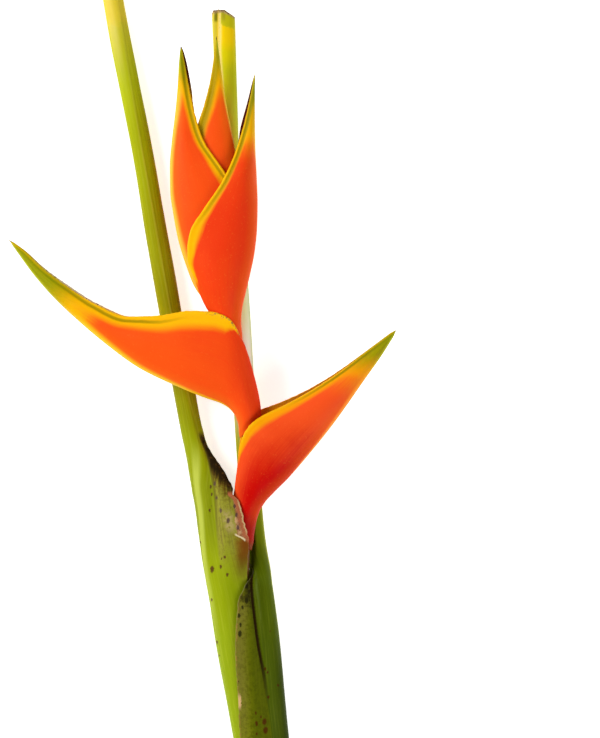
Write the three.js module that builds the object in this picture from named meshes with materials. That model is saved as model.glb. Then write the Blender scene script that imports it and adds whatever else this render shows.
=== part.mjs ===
// A cut heliconia: one flower head of five boat-shaped bracts on a zigzag stalk, held by the
// sheaths of two leaves whose blades have been cut off. It lies on its back on a flat surface.
// Millimetres, +Z up, +Y towards the flower's top, +X to its right; the origin lies on the
// surface, under the middle of the whole thing.

import * as THREE from 'three';
import { mergeVertices } from 'three/addons/utils/BufferGeometryUtils.js';

// ---------------------------------------------------------------- driving dimensions

const SURFACE = 0;               // what it lies on
const STATIONS_PER_SPAN = 2;     // cross-sections between two neighbouring outline pairs
const BRACT_SIDE_STEPS = 6;      // facets from a bract's lip to its keel
const BRACT_WALL = 2.0;          // fleshy side of a bract
const KEEL_WALL = 2.6;           // fleshy fold along a bract's back
const LIP_WALL = 1.3;            // thin margin of a bract
const CLASP_WALL = 1.2;          // where a bract's base clasps the flower stalk
const CLASP_SPANS = 4;           // outline spans over which a bract thins towards its base
const WIDEST = 0.48;             // where a bract is fattest, from lip 0 to keel 1
const LEAF_ARC_STEPS = 11;       // facets round a leaf stalk or sheath
const LEAF_STEP = 17;            // usual distance between the rings of a leaf stalk
const STALK_SIDES = 12;          // facets round the flower stalk

const GREEN = 0x9fae1c;
const PALE_GREEN = 0xb5be3a;
const RED = 0xd8401c;
const ORANGE = 0xee5a1c;
const DEEP_ORANGE = 0xe5471a;

// Flower stalk: [x, y, z of its middle, radius], from the cut end to the tip inside bract_5.
const FLOWER_STALK = [
  [43.5, -264, 11.2, 5.4], [32, -203, 11.2, 5.4], [27, -168, 12, 5.4], [24.6, -144, 13.6, 5.3],
  [23.4, -123, 15.8, 5.2], [22.8, -105, 17.2, 5], [23.4, -87, 18.4, 4.9], [24.3, -72, 19, 5],
  [25.2, -54, 20.4, 4.9], [26.8, -36, 21.9, 4.9], [28.5, -18, 23.1, 4.9], [28, -3, 23.8, 4.8],
  [25.2, 11, 24.3, 4.7], [21.6, 25, 24.6, 4.5], [18, 37, 24.8, 4.2], [15.8, 49, 25, 3.9],
  [13.2, 60, 25.2, 3.4], [11.5, 72, 25.3, 2.7], [11, 81, 25.4, 2],
];

// Leaf rings, from the cut stalk down to the cut sheath:
// [y, left, right, low, high, front edge, back edge (degrees from the leaf's back), wall at the
//  back, wall at the edges, groove centre (share of the half width), tilt of the cut]
const LEFT_LEAF = [
  [264, -64.4, -52, -0.8, 10.8, 152, 152, 12, 3, 0.5, 0.17],
  [215, -56, -43, -0.7, 11, 152, 152, 12, 3, 0.5, 0.17],
  [150, -43, -30, 0.6, 11.8, 152, 152, 12, 3, 0.5, 0.16],
  [96, -34.2, -20.6, 0.8, 12.2, 152, 152, 12, 3, 0.5, 0.15],
  [30, -22.6, -8.6, 0.8, 12.4, 152, 152, 12, 3, 0.5, 0.08],
  [-14, -14.6, -0.6, 0.8, 12.6, 150, 150, 12, 3, 0.5, 0],
  [-24, -12.6, 2.6, 0.8, 13.2, 142, 138, 11, 2, 0.45, 0],
  [-33, -10.6, 9, 0.8, 15.6, 134, 122, 10, 1.4, 0.35, 0],
  [-42, -9, 17.5, 0.8, 20, 128, 106, 9, 1.3, 0.25, 0],
  [-54, -7, 26.5, 0.8, 28.4, 124, 98, 8.5, 1.3, 0.15, 0],
  [-66, -4.8, 32, 0.8, 31.2, 124, 96, 8, 1.3, 0.1, 0],
  [-84, -2.4, 34, 0.9, 30.2, 131, 96, 8, 1.4, 0.05, 0],
  [-102, 0.3, 33.6, 1.4, 26.6, 124.5, 97, 7.5, 1.5, 0, 0],
  [-120, 3.6, 33.6, 2.2, 24.6, 122, 105, 7, 1.5, 0, 0],
  [-144, 7.2, 36, 2.4, 22.9, 128, 112, 6.5, 1.6, 0, 0],
  [-180, 13.8, 38.4, 2.4, 20.4, 130, 124, 6, 1.6, 0, 0],
  [-203, 18, 40.6, 2.4, 19.8, 132, 128, 6, 1.6, 0, 0],
  [-264, 29.4, 51, 2.4, 19.6, 132, 128, 6, 1.6, 0, 0],
];
const RIGHT_LEAF = [
  [233.7, 3.9, 18.8, -0.8, 10.4, 152, 152, 12, 3.2, 0.5, -0.02],
  [190, 6, 20.1, -0.7, 10.6, 152, 152, 12, 3.2, 0.5, -0.03],
  [144, 8.1, 21.6, 0.4, 11, 152, 152, 12, 3.2, 0.5, -0.05],
  [66, 13.6, 27.2, 0.5, 11.2, 152, 152, 12, 3.2, 0.5, -0.07],
  [-6, 17.6, 31.6, 0.5, 11.2, 152, 152, 12, 3.2, 0.5, -0.06],
  [-60, 21.2, 35, 0.4, 11.2, 152, 152, 12, 3.2, 0.5, -0.03],
  [-84, 22.8, 37.4, 0.3, 11.6, 150, 150, 12, 3, 0.5, 0],
  [-94, 23.4, 39, 0.2, 14.4, 128, 136, 10.5, 2, 0.35, 0],
  [-102.6, 23.2, 40.6, 0.1, 20.2, 102, 116, 9, 1.6, 0.2, 0],
  [-111, 8, 41.6, 0, 27.8, 87, 100, 9, 1.5, 0.05, 0],
  [-120, 2, 43, 0, 27.2, 92, 105, 8.8, 1.5, 0, 0],
  [-144, 4, 46, 0, 25.6, 104, 112, 9, 1.5, 0, 0],
  [-180, 11, 49.4, -0.3, 23.4, 117, 124, 10, 1.5, 0, 0],
  [-203, 14, 51.6, -0.9, 22.4, 122, 130, 10, 1.5, 0, 0],
  [-264, 25.4, 58.6, -0.9, 22.2, 122, 130, 8, 1.5, 0, 0],
];

// Bracts, each from its tip to its base: [keel x, keel y, lip x, lip y, height of the middle,
//  half width, half gap between the lips, how far the far lip stands out past the near one]
const BRACTS = {
  bract_1: [
    [115.8, 40.8, 115.2, 42.2, 24, 0.9, 0.25, 0], [106.8, 26.4, 96.6, 27.6, 24, 3.4, 1, 0.6],
    [96.6, 12, 78, 13.8, 24, 5.8, 2, 1.4], [87, -1.8, 61.8, 3.6, 24, 8, 3.2, 2.4],
    [77.4, -15, 48.6, -3.6, 24, 9.6, 4.4, 3.6], [68.4, -26.4, 37.8, -8.7, 24, 10.7, 5.8, 4.2],
    [59.4, -37.2, 30, -14.1, 23.6, 11.9, 8.8, 3.4], [51, -46.8, 24.9, -21.6, 23, 11.6, 9, 1.8],
    [43.2, -54.6, 22.5, -30, 22.3, 10.2, 6.6, 0.8], [37.2, -61.2, 21, -42, 21.3, 9.2, 4.2, 0],
    [33.8, -67.2, 19.2, -55.2, 20.1, 8, 2.4, 0], [31.8, -74.4, 17.6, -67.2, 19.2, 7.2, 1.2, 0],
    [30.6, -82.8, 16.8, -78, 18.7, 6.8, 0.9, 0], [30.4, -90, 16.2, -87.6, 18.2, 6.8, 0.8, 0],
  ],
  bract_2: [
    [-115.4, 95, -115.8, 96.2, 22, 0.9, 0.25, 0], [-109.7, 87, -106.2, 88.8, 22.3, 1.8, 0.5, 0.3],
    [-100.8, 74.9, -96, 78.9, 22.8, 3, 0.9, 0.5], [-88.8, 61.2, -81, 67.5, 23.2, 4.6, 1.5, 0.8],
    [-73.8, 47.1, -63, 56.4, 23.6, 6.4, 2.3, 0.8], [-57, 33, -43.8, 49.2, 23.9, 8.2, 3.2, 0.5],
    [-37.8, 19.2, -25.8, 49.8, 24.2, 9.9, 4.2, 0.2], [-16.2, 8.7, -7.8, 52.5, 24.4, 11, 5.4, 0],
    [1.2, 1.5, 5.4, 51.9, 24.5, 11.4, 7.2, 0], [11.4, -2.1, 16.2, 47.7, 24.5, 11.4, 8.7, 0],
    [16.8, -5.7, 24, 34.8, 24.4, 10.4, 6.4, 0], [20.1, -10.8, 30, 16.8, 24.1, 9, 2.6, 0],
    [21.6, -16.8, 33.9, 0, 23.6, 7.8, 1, 0], [21.4, -23.6, 35.3, -10.8, 23.2, 7, 0.8, 0],
  ],
  bract_3: [
    [31.6, 193.5, 31.3, 195, 27, 0.9, 0.25, 0], [31.4, 180, 28.6, 179.4, 27, 1.8, 0.5, 1],
    [31.4, 166.8, 25.4, 164.4, 26.7, 3.3, 1, 2], [31.6, 151.2, 20.3, 147, 26.1, 7.4, 5.2, 0],
    [32.4, 134.4, 12.8, 129.8, 25.5, 11.7, 9.7, 0], [33, 117.6, 2.2, 113.8, 25.4, 12, 9.6, 0],
    [32.7, 103.2, -6, 100.4, 25.3, 12.3, 9.2, 0], [31.2, 88.2, -7.8, 90.2, 25.2, 12.7, 8.4, 0],
    [28.8, 76.2, -7.8, 82.8, 25.1, 12.5, 7.4, 0], [26.1, 64.8, -3.6, 71.4, 25, 11.6, 6.6, 0],
    [24, 55.8, 0, 61.2, 25, 9.4, 5.2, 0], [23.2, 48, 4.2, 52.8, 24.9, 7.7, 3.6, 0],
    [23.6, 41.4, 9.3, 46.2, 24.8, 6.8, 2, 0], [25.2, 33.6, 11.4, 38.4, 24.7, 6.4, 0.9, 0],
  ],
  bract_4: [
    [-13.2, 210.9, -12.8, 212.2, 24, 0.9, 0.25, 0], [-14.1, 200.4, -10.5, 199.2, 24.2, 1.8, 0.5, 1.4],
    [-14.9, 186, -8.4, 186, 24.4, 3.1, 0.9, 1.2], [-16.3, 171, -5.2, 171, 24.6, 4.8, 2.4, 0],
    [-18.2, 154.8, 0, 154.8, 24.8, 7, 4.9, 0], [-19.4, 139.2, 9.4, 140.4, 25, 8, 6.4, 0],
    [-19.2, 124.8, 18.2, 127.2, 25.1, 8.5, 6.6, 0], [-17.1, 109.2, 23.4, 112.8, 25.2, 8.5, 5.6, 0],
    [-14.4, 95.4, 25.2, 98.4, 25.2, 8.3, 4.2, 0], [-9.6, 79.8, 23.4, 82.8, 25.2, 7.8, 3, 0],
    [-4.8, 67.8, 20.6, 68.4, 25.2, 7, 2, 0], [1.2, 59.4, 19.6, 59.4, 25.1, 6.2, 1.2, 0],
    [7.2, 53.4, 20, 52, 25.1, 5.8, 0.8, 0],
  ],
  bract_5: [
    [8.7, 216.3, 8.2, 217.6, 22.5, 0.9, 0.25, 0], [10.2, 205.2, 6.9, 204, 22.9, 1.5, 0.5, 0],
    [11.7, 193.2, 5.1, 190.8, 23.3, 2.4, 0.7, 0], [13.8, 178.8, 1.8, 176.4, 23.8, 3.5, 1, 0],
    [17.1, 162, -2.7, 161.4, 24.3, 4.6, 1.4, 0], [19.8, 146.4, -5.1, 145.2, 24.8, 5.4, 1.8, 0],
    [21, 130.8, -5.4, 128.4, 25.1, 5.7, 2, 0], [20.7, 115.2, -3, 112.8, 25.2, 5.6, 1.8, 0],
    [18.9, 99.6, 1.5, 98.4, 25.3, 5, 1.4, 0], [16.5, 86.4, 5.4, 85.2, 25.3, 4.4, 1, 0],
    [15.6, 75.6, 7.3, 75, 25.3, 4.4, 0.8, 0],
  ],
};

// ---------------------------------------------------------------- curves through key rows

// Smooth, never overshooting interpolation of one column of numbers at unevenly spaced places.
function easedSlopes(places, values) {
  const last = places.length - 1;
  const secants = [];
  for (let i = 0; i < last; i += 1) {
    secants.push((values[i + 1] - values[i]) / (places[i + 1] - places[i]));
  }
  const slopes = [secants[0]];
  for (let i = 1; i < last; i += 1) {
    const before = secants[i - 1];
    const after = secants[i];
    slopes.push(before * after <= 0 ? 0 : (2 * before * after) / (before + after));
  }
  slopes.push(secants[last - 1]);
  return slopes;
}

// Returns a function that gives every column of the rows at one place. The first column holds
// the places unless the rows are simply numbered.
function throughRows(rows, places = rows.map((row, index) => index)) {
  const columns = rows[0].map((cell, c) => rows.map((row) => row[c]));
  const slopes = columns.map((column) => easedSlopes(places, column));
  const rising = places[1] > places[0];
  return (place) => {
    let i = 0;
    while (i < places.length - 2 && (rising ? place > places[i + 1] : place < places[i + 1])) {
      i += 1;
    }
    const width = places[i + 1] - places[i];
    const u = THREE.MathUtils.clamp((place - places[i]) / width, 0, 1);
    const startSlope = u * (1 - u) ** 2 * width;
    const endSlope = u * u * (u - 1) * width;
    const end = u * u * (3 - 2 * u);
    return columns.map((column, c) => column[i] * (1 - end) + column[i + 1] * end
      + slopes[c][i] * startSlope + slopes[c][i + 1] * endSlope);
  };
}

// ---------------------------------------------------------------- closed lofts

// Sections are loops of [x, y, z] with the same number of points. A thin-walled loop runs out
// along its outer side and back along its inner side, so its ends are capped by a strip.
function loft(sections) {
  const ring = sections[0].length;
  const half = ring / 2;
  const positions = sections.flat(2);
  const faces = [];
  for (let s = 0; s < sections.length - 1; s += 1) {
    for (let i = 0; i < ring; i += 1) {
      const a = s * ring + i;
      const b = s * ring + ((i + 1) % ring);
      faces.push(a, b, b + ring, a, b + ring, a + ring);
    }
  }
  const lastRing = (sections.length - 1) * ring;
  for (let i = 0; i < half - 1; i += 1) {
    const back = ring - 1 - i;
    faces.push(i, back, back - 1, i, back - 1, i + 1);
    faces.push(lastRing + i, lastRing + i + 1, lastRing + back - 1);
    faces.push(lastRing + i, lastRing + back - 1, lastRing + back);
  }
  const geometry = new THREE.BufferGeometry();
  geometry.setAttribute('position', new THREE.Float32BufferAttribute(positions, 3));
  geometry.setIndex(signedVolume(positions, faces) < 0 ? faces.reverse() : faces);
  return mergeVertices(geometry, 1e-5);
}

function signedVolume(positions, faces) {
  const corner = (index) => new THREE.Vector3().fromArray(positions, index * 3);
  let volume = 0;
  for (let f = 0; f < faces.length; f += 3) {
    const [a, b, c] = [corner(faces[f]), corner(faces[f + 1]), corner(faces[f + 2])];
    volume += a.dot(b.cross(c)) / 6;
  }
  return volume;
}

// ---------------------------------------------------------------- bracts

// Half width of a bract at one depth, from the lip at 0 to the keel at 1.
function bractHalfWidth(depth, halfWidth, lipHalf) {
  if (depth > WIDEST) {
    const past = (depth - WIDEST) / (1 - WIDEST);
    return halfWidth * Math.sqrt(Math.max(0, 1 - past ** 2.1)) ** 1.15;
  }
  const before = (WIDEST - depth) / WIDEST;
  return halfWidth - (halfWidth - lipHalf) * before ** 1.7;
}

// One boat-shaped cross-section: out along the near side, round the keel and up the far side,
// then back along the inside. clasp grows from 0 to 1 where the base grips the flower stalk.
function bractSection(clasp, [keelX, keelY, lipX, lipY, middle, halfWidth, gap, farLip]) {
  const depth = Math.hypot(keelX - lipX, keelY - lipY);
  const side = Math.min(THREE.MathUtils.lerp(BRACT_WALL, CLASP_WALL, clasp), halfWidth * 0.5);
  const lip = Math.min(LIP_WALL, halfWidth * 0.45);
  const keel = Math.min(THREE.MathUtils.lerp(KEEL_WALL, CLASP_WALL, clasp), depth * 0.45);
  const lipGap = Math.min(gap, halfWidth - side);
  const outer = [];
  const inner = [];
  for (let step = -BRACT_SIDE_STEPS; step <= BRACT_SIDE_STEPS; step += 1) {
    const reach = Math.abs(step) / BRACT_SIDE_STEPS;
    const v = 1 - reach ** 1.35;
    const facing = step < 0 ? 1 : -1;
    const stretch = step > 0 ? farLip / depth * reach ** 3 : 0;
    const outV = v - stretch;
    const inV = v * (1 - keel / depth) - stretch;
    const outHalf = bractHalfWidth(v, halfWidth, lipGap + lip);
    const inHalf = bractHalfWidth(v, halfWidth - side, lipGap);
    outer.push(placeOnSection(outV, facing * outHalf));
    inner.push(placeOnSection(inV, facing * inHalf));
  }
  return [...outer, ...inner.reverse()];

  function placeOnSection(v, aside) {
    return [lipX + (keelX - lipX) * v, lipY + (keelY - lipY) * v, middle + aside];
  }
}

function bractGeometry(rows) {
  const at = throughRows(rows);
  const count = (rows.length - 1) * STATIONS_PER_SPAN;
  const sections = [];
  for (let s = 0; s <= count; s += 1) {
    const place = s / STATIONS_PER_SPAN;
    const clasp = THREE.MathUtils.smoothstep(place, rows.length - 1 - CLASP_SPANS, rows.length - 2);
    sections.push(bractSection(clasp, at(place)));
  }
  return loft(sections);
}

// ---------------------------------------------------------------- leaf stalks and sheaths

// A ring open on one side: a grooved stalk near the cut top, a wrapping sheath lower down.
// facing is 1 for a leaf whose back is on the left and -1 for one whose back is on the right.
function leafSection(facing, y, [left, right, low, high, front, back, wall, edge, groove, tilt]) {
  const middleX = (left + right) / 2;
  const middleZ = (low + high) / 2;
  const halfX = (right - left) / 2;
  const halfZ = (high - low) / 2;
  const grooveX = middleX + facing * groove * halfX;
  const outer = [];
  const inner = [];
  for (let step = 0; step <= LEAF_ARC_STEPS; step += 1) {
    const degrees = THREE.MathUtils.lerp(-back, front, step / LEAF_ARC_STEPS);
    const turn = THREE.MathUtils.degToRad(degrees);
    const x = middleX - facing * halfX * Math.cos(turn);
    const z = middleZ + halfZ * Math.sin(turn);
    const nearBack = Math.cos(Math.min(1, Math.abs(degrees) / 80) * Math.PI / 2) ** 1.2;
    const away = Math.hypot(grooveX - x, middleZ - z);
    const share = Math.min(0.86, (edge + (wall - edge) * nearBack) / away);
    const innerX = x + (grooveX - x) * share;
    const innerZ = z + (middleZ - z) * share;
    outer.push([x, y + tilt * (x - middleX), Math.max(SURFACE, z)]);
    inner.push([innerX, y + tilt * (innerX - middleX), Math.max(SURFACE, innerZ)]);
  }
  return [...outer, ...inner.reverse()];
}

function leafGeometry(rows, facing) {
  const places = rows.map((row) => row[0]);
  const at = throughRows(rows.map((row) => row.slice(1)), places);
  const sections = [];
  for (let i = 0; i < places.length - 1; i += 1) {
    const steps = Math.max(1, Math.round((places[i] - places[i + 1]) / LEAF_STEP));
    for (let s = 0; s < steps; s += 1) {
      const y = THREE.MathUtils.lerp(places[i], places[i + 1], s / steps);
      sections.push(leafSection(facing, y, at(y)));
    }
  }
  const cutEnd = places[places.length - 1];
  sections.push(leafSection(facing, cutEnd, at(cutEnd)));
  return loft(sections);
}

// ---------------------------------------------------------------- flower stalk

function stalkGeometry(rows) {
  const at = throughRows(rows);
  const heading = new THREE.Vector3();
  const across = new THREE.Vector3();
  const sections = rows.map((row, index) => {
    const [x, y, z, radius] = row;
    const before = at(Math.max(0, index - 0.5));
    const after = at(Math.min(rows.length - 1, index + 0.5));
    heading.set(after[0] - before[0], after[1] - before[1], after[2] - before[2]).normalize();
    across.set(heading.y, -heading.x, 0).normalize();
    const upward = new THREE.Vector3().crossVectors(across, heading);
    const ring = [];
    for (let i = 0; i < STALK_SIDES; i += 1) {
      const turn = (i + 0.5) / STALK_SIDES * 2 * Math.PI;
      const point = new THREE.Vector3(x, y, z)
        .addScaledVector(across, radius * Math.cos(turn))
        .addScaledVector(upward, radius * Math.sin(turn));
      ring.push(point.toArray());
    }
    return ring;
  });
  return loft(sections);
}

// ---------------------------------------------------------------- the whole flower

function piece(name, geometry, color, roughness) {
  const material = new THREE.MeshStandardMaterial({ color, roughness, metalness: 0 });
  const mesh = new THREE.Mesh(geometry, material);
  mesh.name = name;
  return mesh;
}

const group = new THREE.Group();
group.add(piece('left_leaf_stalk', leafGeometry(LEFT_LEAF, 1), GREEN, 0.5));
group.add(piece('right_leaf_stalk', leafGeometry(RIGHT_LEAF, -1), PALE_GREEN, 0.5));
group.add(piece('flower_stalk', stalkGeometry(FLOWER_STALK), RED, 0.45));
for (const [name, rows] of Object.entries(BRACTS)) {
  const color = name === 'bract_1' ? DEEP_ORANGE : ORANGE;
  group.add(piece(name, bractGeometry(rows), color, 0.38));
}

export default group;
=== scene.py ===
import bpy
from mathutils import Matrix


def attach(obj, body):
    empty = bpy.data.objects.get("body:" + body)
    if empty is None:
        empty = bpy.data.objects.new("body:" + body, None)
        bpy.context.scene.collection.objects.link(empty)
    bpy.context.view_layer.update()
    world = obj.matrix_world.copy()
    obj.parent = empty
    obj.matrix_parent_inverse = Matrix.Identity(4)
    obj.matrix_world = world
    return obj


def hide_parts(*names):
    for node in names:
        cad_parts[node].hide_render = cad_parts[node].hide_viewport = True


bl_info = {
    "name": "Cut Heliconia Flower",
    "version": (1, 0, 0),
    "blender": (4, 5, 0),
    "location": "3D View > Sidebar > Heliconia",
    "description": "Builds one cut heliconia flower, lying on a pale surface",
    "category": "Add Mesh",
}

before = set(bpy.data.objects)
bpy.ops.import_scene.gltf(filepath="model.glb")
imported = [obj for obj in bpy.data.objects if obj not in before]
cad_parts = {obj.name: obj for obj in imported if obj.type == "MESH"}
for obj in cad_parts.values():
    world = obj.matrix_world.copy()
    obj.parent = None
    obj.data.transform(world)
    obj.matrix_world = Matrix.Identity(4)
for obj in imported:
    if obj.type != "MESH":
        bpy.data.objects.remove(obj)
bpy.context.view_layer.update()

import math

import bpy
import numpy as np
from bpy.props import FloatProperty, FloatVectorProperty, IntProperty, PointerProperty
from bpy.props import StringProperty
from mathutils import Vector, noise

MM = 0.001

# ---------------------------------------------------------------- the photograph's frame

PHOTO_WIDTH = 600
PHOTO_HEIGHT = 738
MM_PER_PIXEL = 0.6
ORIGIN_PIXEL = (203, 400)        # where the photograph shows the frame's origin
PLANE_HEIGHT = 15.0              # mm above the surface, where the scale above holds
CAMERA_DISTANCE = 1500.0         # mm above that plane
SENSOR = 36.0                    # mm, along the picture's long side


def from_pixel(column, row):
    """The place in mm, seen from above, that the photograph shows at a pixel."""
    return ((column - ORIGIN_PIXEL[0]) * MM_PER_PIXEL, (ORIGIN_PIXEL[1] - row) * MM_PER_PIXEL)


# ---------------------------------------------------------------- the flower's measures, mm

# Flower stalk: x, y, z of its middle and its radius, from the cut end to its tip.
FLOWER_STALK = [
    [43.5, -264, 11.2, 5.4], [32, -203, 11.2, 5.4], [27, -168, 12, 5.4], [24.6, -144, 13.6, 5.3],
    [23.4, -123, 15.8, 5.2], [22.8, -105, 17.2, 5], [23.4, -87, 18.4, 4.9], [24.3, -72, 19, 5],
    [25.2, -54, 20.4, 4.9], [26.8, -36, 21.9, 4.9], [28.5, -18, 23.1, 4.9], [28, -3, 23.8, 4.8],
    [25.2, 11, 24.3, 4.7], [21.6, 25, 24.6, 4.5], [18, 37, 24.8, 4.2], [15.8, 49, 25, 3.9],
    [13.2, 60, 25.2, 3.4], [11.5, 72, 25.3, 2.7], [11, 81, 25.4, 2],
]

# Leaf rings: y, left, right, low, high, front edge, back edge (degrees from the leaf's back),
# wall at the back, wall at the edges, groove centre (share of the half width), tilt of the cut.
LEAVES = {
    "left_leaf_stalk": [
        [264, -64.4, -52, -0.8, 10.8, 152, 152, 12, 3, 0.5, 0.17],
        [215, -56, -43, -0.7, 11, 152, 152, 12, 3, 0.5, 0.17],
        [150, -43, -30, 0.6, 11.8, 152, 152, 12, 3, 0.5, 0.16],
        [96, -34.2, -20.6, 0.8, 12.2, 152, 152, 12, 3, 0.5, 0.15],
        [30, -22.6, -8.6, 0.8, 12.4, 152, 152, 12, 3, 0.5, 0.08],
        [-14, -14.6, -0.6, 0.8, 12.6, 150, 150, 12, 3, 0.5, 0],
        [-24, -12.6, 2.6, 0.8, 13.2, 142, 138, 11, 2, 0.45, 0],
        [-33, -10.6, 9, 0.8, 15.6, 134, 122, 10, 1.4, 0.35, 0],
        [-42, -9, 17.5, 0.8, 20, 128, 106, 9, 1.3, 0.25, 0],
        [-54, -7, 26.5, 0.8, 28.4, 124, 98, 8.5, 1.3, 0.15, 0],
        [-66, -4.8, 32, 0.8, 31.2, 124, 96, 8, 1.3, 0.1, 0],
        [-84, -2.4, 34, 0.9, 30.2, 131, 96, 8, 1.4, 0.05, 0],
        [-102, 0.3, 33.6, 1.4, 26.6, 124.5, 97, 7.5, 1.5, 0, 0],
        [-120, 3.6, 33.6, 2.2, 24.6, 122, 105, 7, 1.5, 0, 0],
        [-144, 7.2, 36, 2.4, 22.9, 128, 112, 6.5, 1.6, 0, 0],
        [-180, 13.8, 38.4, 2.4, 20.4, 130, 124, 6, 1.6, 0, 0],
        [-203, 18, 40.6, 2.4, 19.8, 132, 128, 6, 1.6, 0, 0],
        [-264, 29.4, 51, 2.4, 19.6, 132, 128, 6, 1.6, 0, 0],
    ],
    "right_leaf_stalk": [
        [233.7, 3.9, 18.8, -0.8, 10.4, 152, 152, 12, 3.2, 0.5, -0.02],
        [190, 6, 20.1, -0.7, 10.6, 152, 152, 12, 3.2, 0.5, -0.03],
        [144, 8.1, 21.6, 0.4, 11, 152, 152, 12, 3.2, 0.5, -0.05],
        [66, 13.6, 27.2, 0.5, 11.2, 152, 152, 12, 3.2, 0.5, -0.07],
        [-6, 17.6, 31.6, 0.5, 11.2, 152, 152, 12, 3.2, 0.5, -0.06],
        [-60, 21.2, 35, 0.4, 11.2, 152, 152, 12, 3.2, 0.5, -0.03],
        [-84, 22.8, 37.4, 0.3, 11.6, 150, 150, 12, 3, 0.5, 0],
        [-94, 23.4, 39, 0.2, 14.4, 128, 136, 10.5, 2, 0.35, 0],
        [-102.6, 23.2, 40.6, 0.1, 20.2, 102, 116, 9, 1.6, 0.2, 0],
        [-111, 8, 41.6, 0, 27.8, 87, 100, 9, 1.5, 0.05, 0],
        [-120, 2, 43, 0, 27.2, 92, 105, 8.8, 1.5, 0, 0],
        [-144, 4, 46, 0, 25.6, 104, 112, 9, 1.5, 0, 0],
        [-180, 11, 49.4, -0.3, 23.4, 117, 124, 10, 1.5, 0, 0],
        [-203, 14, 51.6, -0.9, 22.4, 122, 130, 10, 1.5, 0, 0],
        [-264, 25.4, 58.6, -0.9, 22.2, 122, 130, 8, 1.5, 0, 0],
    ],
}

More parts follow.
